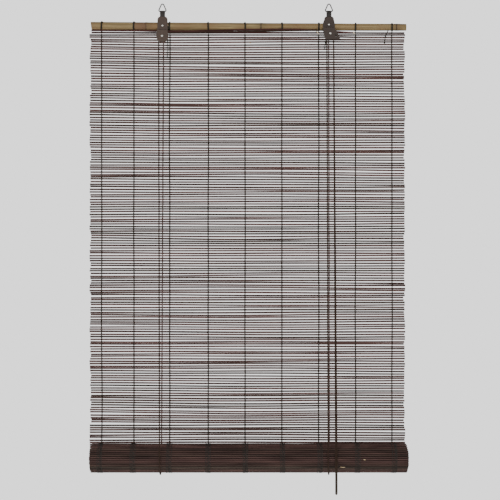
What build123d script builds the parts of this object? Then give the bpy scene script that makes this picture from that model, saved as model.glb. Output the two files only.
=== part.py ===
from build123d import *

import math
import os

os.makedirs("parts", exist_ok=True)

# A roll-up blind of dark bamboo slats under a bamboo cane, partly rolled up.
# Millimetres, +Z up, front towards -Y. The origin is where a wall hook bears,
# inside the top of the left hanger ring.

# Round wire, cord and small heads are drawn with flat sides
TUBE_SIDES = 8
BEND_STEP = 25.0
HEAD_SIDES = 12
WHEEL_SIDES = 24

# Slats, laid level one under the other
SLAT_LENGTH = 897.0
SLAT_HEIGHT = 3.6
SLAT_THICKNESS = 1.9
SLAT_GAP = 3.4
SLAT_STAGGER = 2.4
HANGING_SLATS = 172
ROLLED_SLATS = 84
SLATS_LEFT_OF_HANGER = 207.0
HEAD_LATH_HEIGHT = 5.6
HEAD_LATH_DROP = 1.8
HEAD_LATH_TO_SLATS = 2.2

# The wall that carries the slats: every third gap is a thin web, the others
# are open beside one post, which lies behind the first or the last warp thread
WEB_EVERY = 3
WEB_THICKNESS = 0.9
WEB_INSET = 3.5
ROLLED_WEB_SHORTER = 1.0
POST_WIDTH = 2.4

# Warp threads, each a pair of strands tied round the cane. They stand evenly between
# the two outermost, apart from the small shifts that the weaver left
WARP_FROM_LEFT_ENDS = 33.0
WARP_FROM_RIGHT_ENDS = 36.0
WARP_SHIFTS = (0.0, -11.5, -13.0, -6.5, -5.0, -3.5, -2.0, -0.5, 0.0)
THREAD_WIDTH = 1.6
THREAD_THICKNESS = 0.8
TIE_SIDES = 12

# The roll: a spiral of the same slats, started at its back
ROLL_RADIUS = 41.0
ROLL_TURN_SPACING = 4.2
RIDGED_SLATS = 38
BOTTOM_LATH_WIDTH = 25.0
BOTTOM_LATH_THICKNESS = 5.0
BOTTOM_LATH_LENGTH = 880.0
LATH_CLEARANCE = 0.3

# The cane: thick end left, thin end right, straight between its nodes
CANE_LENGTH = 900.0
CANE_LEFT_OF_HANGER = 205.5
CANE_UNDERSIDE_DROP = 73.5
CANE_RADII = (13.0, 12.0, 10.5, 9.7)
CANE_WALL = 4.6
CANE_NODES_FROM_BUTT = (157.6, 485.7)
CANE_NODE_FROM_TIP = 28.2
NODE_SWELL = 0.8
NODE_LENGTH = 6.0
CANE_SAW_LEAN = 8.0
MAT_BEHIND_CANE_FRONT = 10.45

# Hanger rings, bent from round wire to a rounded triangle
WIRE_RADIUS = 1.1
RING_HALF_BASE = 11.8
RING_SIDE_LEAN = 23.2
RING_TOP_RADIUS = 4.0
RING_FOOT_RADIUS = 3.2

# Hanger straps, stamped steel with a curl round the ring's base wire
SHEET = 1.0
BEND_RADIUS = 0.6
CURL_CLEARANCE = 0.15
CURL_WIDTH = 12.4
CURL_TAB_LENGTH = 14.5
CURL_RETURN = 6.1
NECK_BELOW_RING = 4.5
NECK_WIDTH = 14.6
NECK_TO_SHOULDER = 17.0
SHOULDER_HEIGHT = 8.0
CORNER_CUT = 1.5
LEFT_STRAP_WIDTH = 29.0
RIGHT_STRAP_WIDTH = 33.6
HANGER_SPACING = 473.6
SEAT_GAP = 0.1

# Pulleys and their axles
CORD_RADIUS = 1.4
PULLEY_PITCH_RADIUS = 9.7
PULLEY_RIM_ABOVE_PITCH = 0.6
PULLEY_WIDTH = 4.4
PULLEY_SIDE_CLEARANCE = 0.3
GROOVE_CLEARANCE = 0.3
AXLE_RADIUS = 2.0
AXLE_CLEARANCE = 0.06
RIVET_HEAD_RADIUS = 3.2
RIVET_HEAD_HEIGHT = 1.2
LEFT_AXLE_DROP = 90.3
LEFT_AXLE_SHIFT = -1.1
RIGHT_AXLE_DROP = 83.8
RIGHT_AXLE_SHIFT = 3.5

# Pulley covers: front cheek, top shelf, and a lap that lies on the strap
CHEEK_RADIUS = 16.0
SHELF_CLEARANCE = 1.0
LAP_HEIGHT = 6.0

# Outline of the cord lock's cheeks, from the axle
LOCK_LEFT = 15.7
LOCK_FOOT_DROP = 17.7
LOCK_FOOT_LEAN = 3.9
LOCK_FLAG_REACH = 27.5
LOCK_FLAG_DROP = 15.6
LOCK_FLAG_TOP = 17.4

# Lock roller and its slanted slots
ROLLER_RADIUS = 3.0
ROLLER_PIN_RADIUS = 1.2
ROLLER_TO_CORD = 0.3
ROLLER_DROP = 2.7
ROLLER_TRAVEL = 7.0
SLOT_LEAN = 25.0
SLOT_CLEARANCE = 0.12
ROLLER_END_CLEARANCE = 0.25
PIN_STICK_OUT = 0.8

# Nails through the straps, and wire staples at the back of the cane
NAIL_RADIUS = 1.1
NAIL_LENGTH = 17.0
NAIL_POINT = 3.0
NAIL_TIP_RADIUS = 0.4
NAIL_HEAD_RADIUS = 3.1
NAIL_HEAD_HEIGHT = 1.3
LEFT_NAIL_DROP = 60.4
RIGHT_NAIL_DROP = 57.6
STAPLE_WIRE_RADIUS = 0.8
STAPLE_SPAN = 10.0
STAPLE_DEPTH = 7.0
STAPLE_REACH = 4.0
STAPLE_BEND = 1.6
LEFT_STAPLE_SHIFT = 1.4
RIGHT_STAPLE_SHIFT = 0.6
CORD_KNOT_RADIUS = 3.4
CORD_KNOT_LENGTH = 6.0

# Cords
CORD_TO_ROLL_BACK = 1.1
CORD_TO_ROLL_FRONT = 3.0
STUB_LENGTH = 6.0
LOCK_TAIL_LENGTH = 20.0
LEFT_SLING_FRONT_X = -4.0
LEFT_SLING_BACK_X = -3.6
RIGHT_SLING_FRONT_X = 467.6
RIGHT_SLING_BACK_X = 475.6
PULL_SPREAD = (1.5, 5.7)
PULL_BEND_ABOVE_ROLL = 6.0
PULL_FIRST_RUN = 16.0
PULL_CORD_DROP = 1384.0
PULL_KNOT_LENGTH = 13.0
PULL_KNOT_RADIUS = 3.9

# Places worked out from the sizes above
PITCH = SLAT_HEIGHT + SLAT_GAP
RING_SIDE = math.radians(RING_SIDE_LEAN)
RING_APEX_Z = WIRE_RADIUS + RING_TOP_RADIUS * (1 / math.sin(RING_SIDE) - 1)
RING_BASE_Z = RING_APEX_Z - RING_HALF_BASE / math.tan(RING_SIDE)
STRAP_FRONT = WIRE_RADIUS + CURL_CLEARANCE
STRAP_BACK = STRAP_FRONT + SHEET
CANE_FRONT = STRAP_BACK + SEAT_GAP
CANE_LEFT = -CANE_LEFT_OF_HANGER
CANE_NODES = (*CANE_NODES_FROM_BUTT, CANE_LENGTH - CANE_NODE_FROM_TIP)
CANE_UNDERSIDE = -CANE_UNDERSIDE_DROP
SLATS_LEFT = -SLATS_LEFT_OF_HANGER
SLATS_RIGHT = SLATS_LEFT + SLAT_LENGTH
MAT_Y = CANE_FRONT + MAT_BEHIND_CANE_FRONT
HEAD_LATH_TOP = CANE_UNDERSIDE - HEAD_LATH_DROP
MAT_TOP = HEAD_LATH_TOP - HEAD_LATH_HEIGHT - HEAD_LATH_TO_SLATS
ROLL_Z = MAT_TOP - HANGING_SLATS * PITCH
ROLL_Y = MAT_Y - ROLL_RADIUS
GROOVE_RADIUS = CORD_RADIUS + GROOVE_CLEARANCE
CORD_BACK_Y = ROLL_Y + ROLL_RADIUS + SLAT_THICKNESS / 2 + CORD_TO_ROLL_BACK + CORD_RADIUS
CORD_FRONT_Y = ROLL_Y - ROLL_RADIUS - SLAT_THICKNESS / 2 - CORD_TO_ROLL_FRONT - CORD_RADIUS
LEFT_AXLE = (LEFT_AXLE_SHIFT, -LEFT_AXLE_DROP)
RIGHT_AXLE = (HANGER_SPACING + RIGHT_AXLE_SHIFT, -RIGHT_AXLE_DROP)
WARP_FIRST = SLATS_LEFT + WARP_FROM_LEFT_ENDS
WARP_STEP = (SLATS_RIGHT - WARP_FROM_RIGHT_ENDS - WARP_FIRST) / (len(WARP_SHIFTS) - 1)
WARP_PLACES = [WARP_FIRST + number * WARP_STEP + shift for number, shift in enumerate(WARP_SHIFTS)]


def block(x_low, x_high, y_low, y_high, z_low, z_high):
    """A box between two corners."""
    size = (x_high - x_low, y_high - y_low, z_high - z_low)
    middle = ((x_low + x_high) / 2, (y_low + y_high) / 2, (z_low + z_high) / 2)
    return Pos(*middle) * Box(*size)


def plate(outline, y_front, thickness):
    """A flat sheet part: an outline drawn in X and Z, made thick towards +Y."""
    return Pos(0, y_front + thickness, 0) * extrude(Plane.XZ * outline, amount=thickness)


def disc(x, z, radius, y_front, thickness):
    """A round of sheet, or a hole to take from it, with its axis along Y."""
    return Pos(x, y_front + thickness / 2, z) * Rot(X=90) * Cylinder(radius, thickness)


def tube(path, radius):
    """A wire or cord along a path, drawn with flat sides."""
    section = Plane(origin=path @ 0, z_dir=path % 0) * RegularPolygon(radius, TUBE_SIDES)
    return sweep(section, path=path, transition=Transition.RIGHT)


def prism(x, z, radius, y_front, thickness, sides):
    """A many-sided disc with its axis along Y. The radius is out to its corners."""
    face = Pos(x, z) * RegularPolygon(radius, sides)
    return plate(face, y_front, thickness)


def bent(points, radii):
    """A route with its corners rounded in short runs, each touching the true arc."""
    points = [Vector(*point) for point in points]
    route = [points[0]]
    for before, corner, after, radius in zip(points, points[1:], points[2:], radii):
        come = (corner - before).normalized()
        go = (after - corner).normalized()
        turn = math.radians(come.get_angle(go))
        inward = (go - come * come.dot(go)).normalized()
        start = corner - come * radius * math.tan(turn / 2)
        runs = math.ceil(math.degrees(turn) / BEND_STEP)
        reach = radius / math.cos(turn / runs / 2)
        for number in range(runs):
            angle = turn * (number + 0.5) / runs
            sideways = inward * (radius - reach * math.cos(angle))
            route.append(start + come * reach * math.sin(angle) + sideways)
    route.append(points[-1])
    return Polyline(*route)


def above(solid, z):
    """The stretch of a cord above a level, with a flat end there."""
    return split(solid, bisect_by=Plane.XY.offset(z), keep=Keep.TOP)


# Slats


def slat_ends(row):
    """Slats are cut by hand, so their ends wander by a few millimetres."""
    left = SLATS_LEFT + SLAT_STAGGER * (0.6 * math.sin(2.3 * row) + 0.4 * math.sin(0.11 * row))
    right = SLATS_RIGHT + SLAT_STAGGER * (0.6 * math.sin(1.7 * row + 1) - 0.4 * math.cos(0.07 * row))
    return left, right


def layer(x_low, x_high, z_low, z_high, thickness):
    """A block of the mat, centred on the mat's middle plane."""
    return block(x_low, x_high, MAT_Y - thickness / 2, MAT_Y + thickness / 2, z_low, z_high)


def slat_mat():
    """The hanging slats as one wall of ridges with open gaps between them."""
    pieces = []
    for row in range(HANGING_SLATS):
        left, right = slat_ends(row)
        top = MAT_TOP - row * PITCH
        bottom = top - SLAT_HEIGHT
        pieces.append(layer(left, right, bottom, top, SLAT_THICKNESS))
        last = row == HANGING_SLATS - 1
        if last or row % WEB_EVERY == WEB_EVERY - 1:
            low = top - PITCH + SEAT_GAP * last
            ends = (SLATS_LEFT + WEB_INSET, SLATS_RIGHT - WEB_INSET)
            back = MAT_Y + SLAT_THICKNESS / 2
            pieces.append(block(*ends, back - WEB_THICKNESS, back, low, bottom))
        else:
            x = WARP_PLACES[-(row % WEB_EVERY)]
            ends = (x - POST_WIDTH / 2, x + POST_WIDTH / 2)
            pieces.append(layer(*ends, top - PITCH, bottom, SLAT_THICKNESS))
    return pieces[0].fuse(*pieces[1:])


def head_lath():
    """The wider lath tied up against the cane, over the first slat."""
    bottom = HEAD_LATH_TOP - HEAD_LATH_HEIGHT
    return layer(SLATS_LEFT, SLATS_RIGHT, bottom, HEAD_LATH_TOP, SLAT_THICKNESS)


# The roll


def spiral(length):
    """Turned angle and radius at a length along the spiral from its outer end."""
    inside = ROLL_RADIUS**2 - ROLL_TURN_SPACING * length / math.pi
    angle = (ROLL_RADIUS - math.sqrt(inside)) * 2 * math.pi / ROLL_TURN_SPACING
    return angle, ROLL_RADIUS - ROLL_TURN_SPACING * angle / (2 * math.pi)


def rolled(angle, radius, x_low, x_high, thickness, height):
    """A slat laid on the spiral, square to its radius. Angle 0 is the back, and it goes down first."""
    y = ROLL_Y + radius * math.cos(angle)
    z = ROLL_Z - radius * math.sin(angle)
    bar = Pos((x_low + x_high) / 2, 0, 0) * Box(x_high - x_low, thickness, height)
    return Pos(0, y, z) * Rot(X=-math.degrees(angle)) * bar


def covered_band(first, last):
    """The covered turns: the spiral of the slats' middle plane made thick, a run to each slat."""
    outer, inner = [], []
    for number in range(first, last):
        angle, radius = spiral(number * PITCH + SLAT_HEIGHT / 2)
        for side, edge in ((1, outer), (-1, inner)):
            reach = radius + side * SLAT_THICKNESS / 2
            edge.append((ROLL_Y + reach * math.cos(angle), ROLL_Z - reach * math.sin(angle)))
    section = make_face(Polyline(*outer, *reversed(inner), close=True))
    return Pos(SLATS_LEFT, 0, 0) * extrude(Plane.YZ * section, amount=SLATS_RIGHT - SLATS_LEFT)


def slat_roll():
    """The rolled slats: a ridge for each on the turn that shows, and a plain band inside it."""
    ends = (SLATS_LEFT + WEB_INSET, SLATS_RIGHT - WEB_INSET)
    pieces = [covered_band(RIDGED_SLATS - 1, ROLLED_SLATS)]
    for number in range(RIDGED_SLATS):
        left, right = slat_ends(HANGING_SLATS + number)
        middle = number * PITCH + SLAT_HEIGHT / 2
        pieces.append(rolled(*spiral(middle), left, right, SLAT_THICKNESS, SLAT_HEIGHT))
        pieces.append(rolled(*spiral(middle + PITCH / 2), *ends, WEB_THICKNESS, PITCH - ROLLED_WEB_SHORTER))
    return pieces[0].fuse(*pieces[1:])


def bottom_lath():
    """The stiff lath that the blind is rolled up round, laid against the inside of its turn."""
    half = BOTTOM_LATH_WIDTH / 2
    angle, radius = spiral(ROLLED_SLATS * PITCH)
    angle = angle + (half + SLAT_GAP) / radius
    turn_outside = ROLL_RADIUS - ROLL_TURN_SPACING * ((angle + half / radius) / (2 * math.pi) - 1)
    corner = turn_outside - SLAT_THICKNESS / 2 - LATH_CLEARANCE
    middle = math.sqrt(corner**2 - half**2) - BOTTOM_LATH_THICKNESS / 2
    left = (SLATS_LEFT + SLATS_RIGHT - BOTTOM_LATH_LENGTH) / 2
    size = (BOTTOM_LATH_THICKNESS, BOTTOM_LATH_WIDTH)
    return rolled(angle, middle, left, left + BOTTOM_LATH_LENGTH, *size)


# The cane


def cane_radius(x):
    """Radius of the cane's stretch between nodes at a place across the blind."""
    return CANE_RADII[sum(x - CANE_LEFT > node for node in CANE_NODES)]


def cane_axis(x):
    """Middle of the cane there: a straight line that brings it up to both hanger straps."""
    left = cane_radius(0)
    drift = (cane_radius(HANGER_SPACING) - left) / HANGER_SPACING
    return Vector(x, CANE_FRONT + left + drift * x, CANE_UNDERSIDE + left + drift * x)


def cane_frame(x):
    """A frame on the cane's axis, with X along the cane."""
    along = (cane_axis(CANE_LEFT + CANE_LENGTH) - cane_axis(CANE_LEFT)).normalized()
    return Plane(origin=cane_axis(x), x_dir=along, z_dir=along.cross(Vector(0, 1, 0)))


def cane_round(start, end, radius):
    """A cylinder on the cane's axis between two distances from its left end."""
    return Pos((start + end) / 2, 0, 0) * Rot(Y=90) * Cylinder(radius, end - start)


def cane():
    """Stretches of stem between swollen nodes, hollow from its sawn ends to the first node."""
    ends = (0, *CANE_NODES, CANE_LENGTH)
    stem = cane_round(0, ends[1], CANE_RADII[0])
    for start, end, radius in zip(ends[1:], ends[2:], CANE_RADII[1:]):
        stem += cane_round(start, end, radius)
    half = NODE_LENGTH / 2
    for node, radius in zip(CANE_NODES, CANE_RADII):
        stem += cane_round(node - half, node + half, radius + NODE_SWELL)
    stem -= cane_round(0, CANE_NODES[0] - half, CANE_RADII[0] - CANE_WALL)
    stem -= cane_round(CANE_NODES[-1] + half, CANE_LENGTH, CANE_RADII[-1] - CANE_WALL)
    lean = math.radians(CANE_SAW_LEAN)
    saw = Plane(
        origin=(CANE_RADII[0] * math.tan(lean), 0, 0),
        z_dir=(math.cos(lean), 0, math.sin(lean)),
    )
    return cane_frame(CANE_LEFT).location * split(stem, bisect_by=saw, keep=Keep.TOP)


# Warp threads


def warp_thread(x):
    """A tie round the cane, and the two strands that hold the slats between them."""
    inside = cane_radius(x) + SEAT_GAP / 2
    outer = RegularPolygon(inside + THREAD_THICKNESS, TIE_SIDES, major_radius=False)
    inner = RegularPolygon(inside, TIE_SIDES, major_radius=False)
    band = extrude(Plane.YZ * (outer - inner), amount=THREAD_WIDTH / 2, both=True)
    thread = cane_frame(x).location * band
    middle = cane_axis(x)
    top = middle.Z - inside - THREAD_THICKNESS / 2
    for side in (-1, 1):
        y = MAT_Y + side * (SLAT_THICKNESS + THREAD_THICKNESS) / 2
        edges = (y - THREAD_THICKNESS / 2, y + THREAD_THICKNESS / 2)
        thread += block(x - THREAD_WIDTH / 2, x + THREAD_WIDTH / 2, *edges, ROLL_Z + SEAT_GAP, top)
    return thread


# Hangers


def hanger_ring(x):
    """A closed wire triangle with round corners, standing in the plane y = 0."""
    foot = RING_FOOT_RADIUS * math.tan((math.pi / 2 + RING_SIDE) / 2)
    straight = RING_HALF_BASE - foot
    points = [
        (x + straight, 0, RING_BASE_Z),
        (x + RING_HALF_BASE, 0, RING_BASE_Z),
        (x, 0, RING_APEX_Z),
        (x - RING_HALF_BASE, 0, RING_BASE_Z),
        (x - straight, 0, RING_BASE_Z),
    ]
    bow = tube(bent(points, [RING_FOOT_RADIUS, RING_TOP_RADIUS, RING_FOOT_RADIUS]), WIRE_RADIUS)
    return bow + Pos(x, 0, RING_BASE_Z) * Rot(Y=90) * Cylinder(WIRE_RADIUS, 2 * straight)


def curl(x):
    """The strap's end turned forwards over the ring's base wire and laid on its own front."""
    far = STRAP_FRONT + SHEET / 2
    near = STRAP_FRONT - SHEET / 2
    tab_end = RING_BASE_Z - CURL_TAB_LENGTH
    path = Line((x, far, tab_end), (x, far, RING_BASE_Z))
    path += ThreePointArc((x, far, RING_BASE_Z), (x, 0, RING_BASE_Z + far), (x, -far, RING_BASE_Z))
    path += FilletPolyline(
        (x, -far, RING_BASE_Z),
        (x, -far, RING_BASE_Z - far),
        (x, near, RING_BASE_Z - CURL_RETURN),
        (x, near, tab_end),
        radius=BEND_RADIUS + SHEET / 2,
    )
    start = Plane(origin=(x, far, tab_end), x_dir=(1, 0, 0), z_dir=(0, 0, 1))
    section = start * Rectangle(CURL_WIDTH, SHEET)
    return sweep(section, path=path)


def strap_outline(x, width, low):
    """Neck, sloping shoulders and parallel sides, down to a level."""
    neck_top = RING_BASE_Z - NECK_BELOW_RING
    shoulder = RING_BASE_Z - NECK_TO_SHOULDER
    half = width / 2
    right = [
        (x + NECK_WIDTH / 2, neck_top),
        (x + NECK_WIDTH / 2, shoulder),
        (x + half - CORNER_CUT, shoulder - SHOULDER_HEIGHT),
        (x + half, shoulder - SHOULDER_HEIGHT - CORNER_CUT),
        (x + half, low),
    ]
    left = [(2 * x - across, z) for across, z in reversed(right)]
    return make_face(Polyline(*right, *left, close=True))


def lock_outline():
    """The cord lock's cheek, with the flag at its lower right that carries the roller slot."""
    x, z = RIGHT_AXLE
    half = RIGHT_STRAP_WIDTH / 2
    top = z + PULLEY_PITCH_RADIUS
    points = [
        (HANGER_SPACING - half, top),
        (x - LOCK_LEFT, z - LOCK_FOOT_DROP / 2),
        (x - LOCK_LEFT + LOCK_FOOT_LEAN, z - LOCK_FOOT_DROP),
        (x + LOCK_FLAG_REACH - CORNER_CUT, z - LOCK_FLAG_DROP),
        (x + LOCK_FLAG_REACH, z - LOCK_FLAG_DROP + CORNER_CUT),
        (x + LOCK_FLAG_TOP, z + PULLEY_PITCH_RADIUS / 2),
        (HANGER_SPACING + half, top),
    ]
    return make_face(Polyline(*points, close=True))


def pulley_y(number):
    """Middle plane of a pulley, counted forwards from the strap."""
    step = PULLEY_WIDTH + PULLEY_SIDE_CLEARANCE
    return STRAP_FRONT - PULLEY_SIDE_CLEARANCE - PULLEY_WIDTH / 2 - number * step


def cover_front(pulleys):
    """Front face of the cover's cheek, before a number of pulleys."""
    return STRAP_FRONT - pulleys * (PULLEY_WIDTH + PULLEY_SIDE_CLEARANCE) - PULLEY_SIDE_CLEARANCE - SHEET


def shelf_under(axle):
    """Underside of the cover's shelf, clear over the cord on its pulley."""
    return axle[1] + PULLEY_PITCH_RADIUS + CORD_RADIUS + SHELF_CLEARANCE


def slot_points():
    """Roller centre at rest, against the cords, and at the low end of its slot."""
    x = RIGHT_AXLE[0] + PULLEY_PITCH_RADIUS + CORD_RADIUS + ROLLER_TO_CORD + ROLLER_RADIUS
    z = RIGHT_AXLE[1] - ROLLER_DROP
    lean = math.radians(SLOT_LEAN)
    return (x, z), (x + ROLLER_TRAVEL * math.sin(lean), z - ROLLER_TRAVEL * math.cos(lean))


def roller_slot(y_front):
    """The slanted slot through one cheek."""
    start, end = slot_points()
    radius = ROLLER_PIN_RADIUS + SLOT_CLEARANCE
    rounds = [Pos(*point) * Circle(radius) for point in (start, end)]
    outline = make_hull(rounds[0].edges() + rounds[1].edges())
    return plate(outline, y_front, SHEET)


def left_strap():
    """Back plate of the left hanger, which goes on down as the pulley's rear cheek."""
    x, z = LEFT_AXLE
    strap = plate(strap_outline(0, LEFT_STRAP_WIDTH, z), STRAP_FRONT, SHEET) + curl(0)
    strap += disc(x, z, CHEEK_RADIUS, STRAP_FRONT, SHEET)
    strap -= disc(x, z, AXLE_RADIUS, STRAP_FRONT, SHEET)
    return strap - prism(0, -LEFT_NAIL_DROP, NAIL_RADIUS, STRAP_FRONT, SHEET, TUBE_SIDES)


def right_strap():
    """Back plate of the right hanger, with the cord lock's rear cheek."""
    x, z = RIGHT_AXLE
    low = z + PULLEY_PITCH_RADIUS - SHEET
    outline = strap_outline(HANGER_SPACING, RIGHT_STRAP_WIDTH, low)
    strap = plate(outline, STRAP_FRONT, SHEET) + curl(HANGER_SPACING)
    strap += plate(lock_outline(), STRAP_FRONT, SHEET)
    strap -= disc(x, z, AXLE_RADIUS, STRAP_FRONT, SHEET)
    strap -= roller_slot(STRAP_FRONT)
    return strap - prism(HANGER_SPACING, -RIGHT_NAIL_DROP, NAIL_RADIUS, STRAP_FRONT, SHEET, TUBE_SIDES)


def bent_cover(x, width, axle, pulleys, low):
    """Sheet bent from the lap on the strap, over the shelf, and down as the front cheek."""
    lap_y = STRAP_FRONT - SHEET / 2
    shelf = shelf_under(axle) + SHEET / 2
    front_y = cover_front(pulleys) + SHEET / 2
    points = [
        (x, lap_y, shelf + LAP_HEIGHT),
        (x, lap_y, shelf),
        (x, front_y, shelf),
        (x, front_y, low),
    ]
    section = Plane(origin=points[0], x_dir=(1, 0, 0), z_dir=(0, 0, -1)) * Rectangle(width, SHEET)
    return sweep(section, path=FilletPolyline(*points, radius=BEND_RADIUS + SHEET / 2))


def left_pulley_cover():
    """Cover of the left pulley, rounded under it."""
    x, z = LEFT_AXLE
    top = shelf_under(LEFT_AXLE) + SHEET + LAP_HEIGHT
    lap = Pos(0, top - LAP_HEIGHT) * Rectangle(LEFT_STRAP_WIDTH, LAP_HEIGHT)
    outline = make_hull(lap.edges() + (Pos(x, z) * Circle(CHEEK_RADIUS)).edges())
    sheet = bent_cover(x, 3 * CHEEK_RADIUS, LEFT_AXLE, 1, z - 2 * CHEEK_RADIUS)
    deep = STRAP_FRONT - cover_front(1)
    return (sheet & plate(outline, cover_front(1), deep)) - disc(x, z, AXLE_RADIUS, cover_front(1), SHEET)


def right_lock_cover():
    """Cover of the cord lock, with the same cheek and slot as the strap behind it."""
    x, z = RIGHT_AXLE
    low = z + PULLEY_PITCH_RADIUS - SHEET
    top = shelf_under(RIGHT_AXLE) + SHEET / 2 + LAP_HEIGHT
    half = RIGHT_STRAP_WIDTH / 2
    edges = (HANGER_SPACING - half, HANGER_SPACING + half)
    front = cover_front(2)
    blank = plate(lock_outline(), front, STRAP_FRONT - front) + block(*edges, front, STRAP_FRONT, low, top)
    sheet = bent_cover(x, 4 * LOCK_FLAG_REACH, RIGHT_AXLE, 2, z - 2 * LOCK_FOOT_DROP)
    return (sheet & blank) - disc(x, z, AXLE_RADIUS, front, SHEET) - roller_slot(front)


# Pulleys, axles and the lock roller


def pulley(axle, number):
    """A grooved wheel with a plain bore."""
    rim = PULLEY_PITCH_RADIUS + PULLEY_RIM_ABOVE_PITCH
    front = pulley_y(number) - PULLEY_WIDTH / 2
    wheel = prism(*axle, rim, front, PULLEY_WIDTH, WHEEL_SIDES)
    groove_front = pulley_y(number) - GROOVE_RADIUS
    groove = prism(*axle, rim + SHEET, groove_front, 2 * GROOVE_RADIUS, WHEEL_SIDES)
    groove -= prism(*axle, PULLEY_PITCH_RADIUS - GROOVE_RADIUS, groove_front, 2 * GROOVE_RADIUS, WHEEL_SIDES)
    return wheel - groove - disc(*axle, AXLE_RADIUS + AXLE_CLEARANCE, front, PULLEY_WIDTH)


def axle_rivet(axle, pulleys):
    """The axle: a shank through both cheeks with a head formed at each end."""
    front = cover_front(pulleys)
    rivet = disc(*axle, AXLE_RADIUS, front, STRAP_BACK - front)
    for y in (front - RIVET_HEAD_HEIGHT, STRAP_BACK):
        rivet += prism(*axle, RIVET_HEAD_RADIUS, y, RIVET_HEAD_HEIGHT, HEAD_SIDES)
    return rivet


def lock_roller():
    """The roller that jams the two cords against the pulleys, with a pin at each end."""
    centre = slot_points()[0]
    front, back = cover_front(2), STRAP_BACK
    barrel = (front + SHEET + ROLLER_END_CLEARANCE, STRAP_FRONT - ROLLER_END_CLEARANCE)
    roller = prism(*centre, ROLLER_RADIUS, barrel[0], barrel[1] - barrel[0], HEAD_SIDES)
    length = back - front + 2 * PIN_STICK_OUT
    return roller + prism(*centre, ROLLER_PIN_RADIUS, front - PIN_STICK_OUT, length, HEAD_SIDES)


# Nails and staples


def nail(x, drop):
    """A flat-headed nail through the strap into the cane, drawn out to a point."""
    whole = NAIL_LENGTH - NAIL_POINT
    piece = prism(x, -drop, NAIL_HEAD_RADIUS, STRAP_FRONT - NAIL_HEAD_HEIGHT, NAIL_HEAD_HEIGHT, HEAD_SIDES)
    piece += prism(x, -drop, NAIL_RADIUS, STRAP_FRONT, whole, TUBE_SIDES)
    start = Plane(origin=(x, STRAP_FRONT + whole, -drop), x_dir=(1, 0, 0), z_dir=(0, 1, 0))
    wide = start * RegularPolygon(NAIL_RADIUS, TUBE_SIDES)
    tip = start.offset(NAIL_POINT) * RegularPolygon(NAIL_TIP_RADIUS, TUBE_SIDES)
    return piece + loft([wide, tip], ruled=True)


def cane_back(x):
    """A place on the back of the cane, level with its middle."""
    middle = cane_axis(x)
    return Vector(x, middle.Y + cane_radius(x), middle.Z)


def staple(x):
    """A wire staple driven into the back of the cane, which the lift cord is tied to."""
    back = cane_back(x)
    half = STAPLE_SPAN / 2
    inner, outer = back.Y - STAPLE_DEPTH, back.Y + STAPLE_REACH
    points = [(x - half, inner), (x - half, outer), (x + half, outer), (x + half, inner)]
    points = [(across, y, back.Z) for across, y in points]
    return tube(bent(points, [STAPLE_BEND, STAPLE_BEND]), STAPLE_WIRE_RADIUS)


def staple_knot(x):
    """The cord's end, wound and knotted round the staple's bar."""
    back = cane_back(x)
    turns = Plane.YZ * RegularPolygon(CORD_KNOT_RADIUS, HEAD_SIDES)
    turns = extrude(turns, amount=CORD_KNOT_LENGTH / 2, both=True)
    return Pos(x, back.Y + STAPLE_REACH, back.Z) * turns - staple(x)


# Cords


def back_cord(x, x_low):
    """From the knot on the cane straight down behind the slats to the roll."""
    back = cane_back(x)
    top = Vector(x, back.Y + STAPLE_REACH, back.Z - CORD_KNOT_RADIUS / 2)
    foot = Vector(x_low, CORD_BACK_Y, ROLL_Z)
    beyond = foot + (foot - top).normalized() * CORD_RADIUS
    return above(tube(Line(top, beyond), CORD_RADIUS), ROLL_Z) - staple_knot(x)


def sling_cord(x_front, x_back):
    """Half round under the roll, from its front to its back."""
    front = Vector(x_front, CORD_FRONT_Y, ROLL_Z)
    back = Vector(x_back, CORD_BACK_Y, ROLL_Z)
    radius = (back - front).length / 2
    down = Vector(0, 0, -radius)
    return tube(bent([front, front + down, back + down, back], [radius, radius]), CORD_RADIUS)


def front_cord(axle, number, x_low):
    """From the roll's front straight up to the left side of its pulley."""
    foot = Vector(x_low, CORD_FRONT_Y, ROLL_Z)
    top = Vector(axle[0] - PULLEY_PITCH_RADIUS, pulley_y(number), axle[1] - STUB_LENGTH)
    step = (top - foot).normalized() * CORD_RADIUS
    whole = tube(Line(foot - step, top + step), CORD_RADIUS)
    return split(above(whole, ROLL_Z), bisect_by=Plane.XY.offset(top.Z), keep=Keep.BOTTOM)


def transfer_cord():
    """Up round the left pulley, across under the cane, and down round the rear right pulley."""
    lean = math.atan2(RIGHT_AXLE[1] - LEFT_AXLE[1], RIGHT_AXLE[0] - LEFT_AXLE[0])
    radius = PULLEY_PITCH_RADIUS
    rise = radius / math.cos(lean)
    y = pulley_y(0)
    left = LEFT_AXLE[0] - radius
    right = RIGHT_AXLE[0] + radius
    points = [
        (left, y, LEFT_AXLE[1] - STUB_LENGTH),
        (left, y, LEFT_AXLE[1] + rise - radius * math.tan(lean)),
        (right, y, RIGHT_AXLE[1] + rise + radius * math.tan(lean)),
        (right, y, RIGHT_AXLE[1] - LOCK_TAIL_LENGTH),
    ]
    return tube(bent(points, [radius, radius]), CORD_RADIUS)


def lock_cord():
    """The right lift cord's stretch over the front right pulley."""
    x, z = RIGHT_AXLE
    y = pulley_y(1)
    radius = PULLEY_PITCH_RADIUS
    points = [
        (x - radius, y, z - STUB_LENGTH),
        (x - radius, y, z + radius),
        (x + radius, y, z + radius),
        (x + radius, y, z - LOCK_TAIL_LENGTH),
    ]
    return tube(bent(points, [radius, radius]), CORD_RADIUS)


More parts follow.
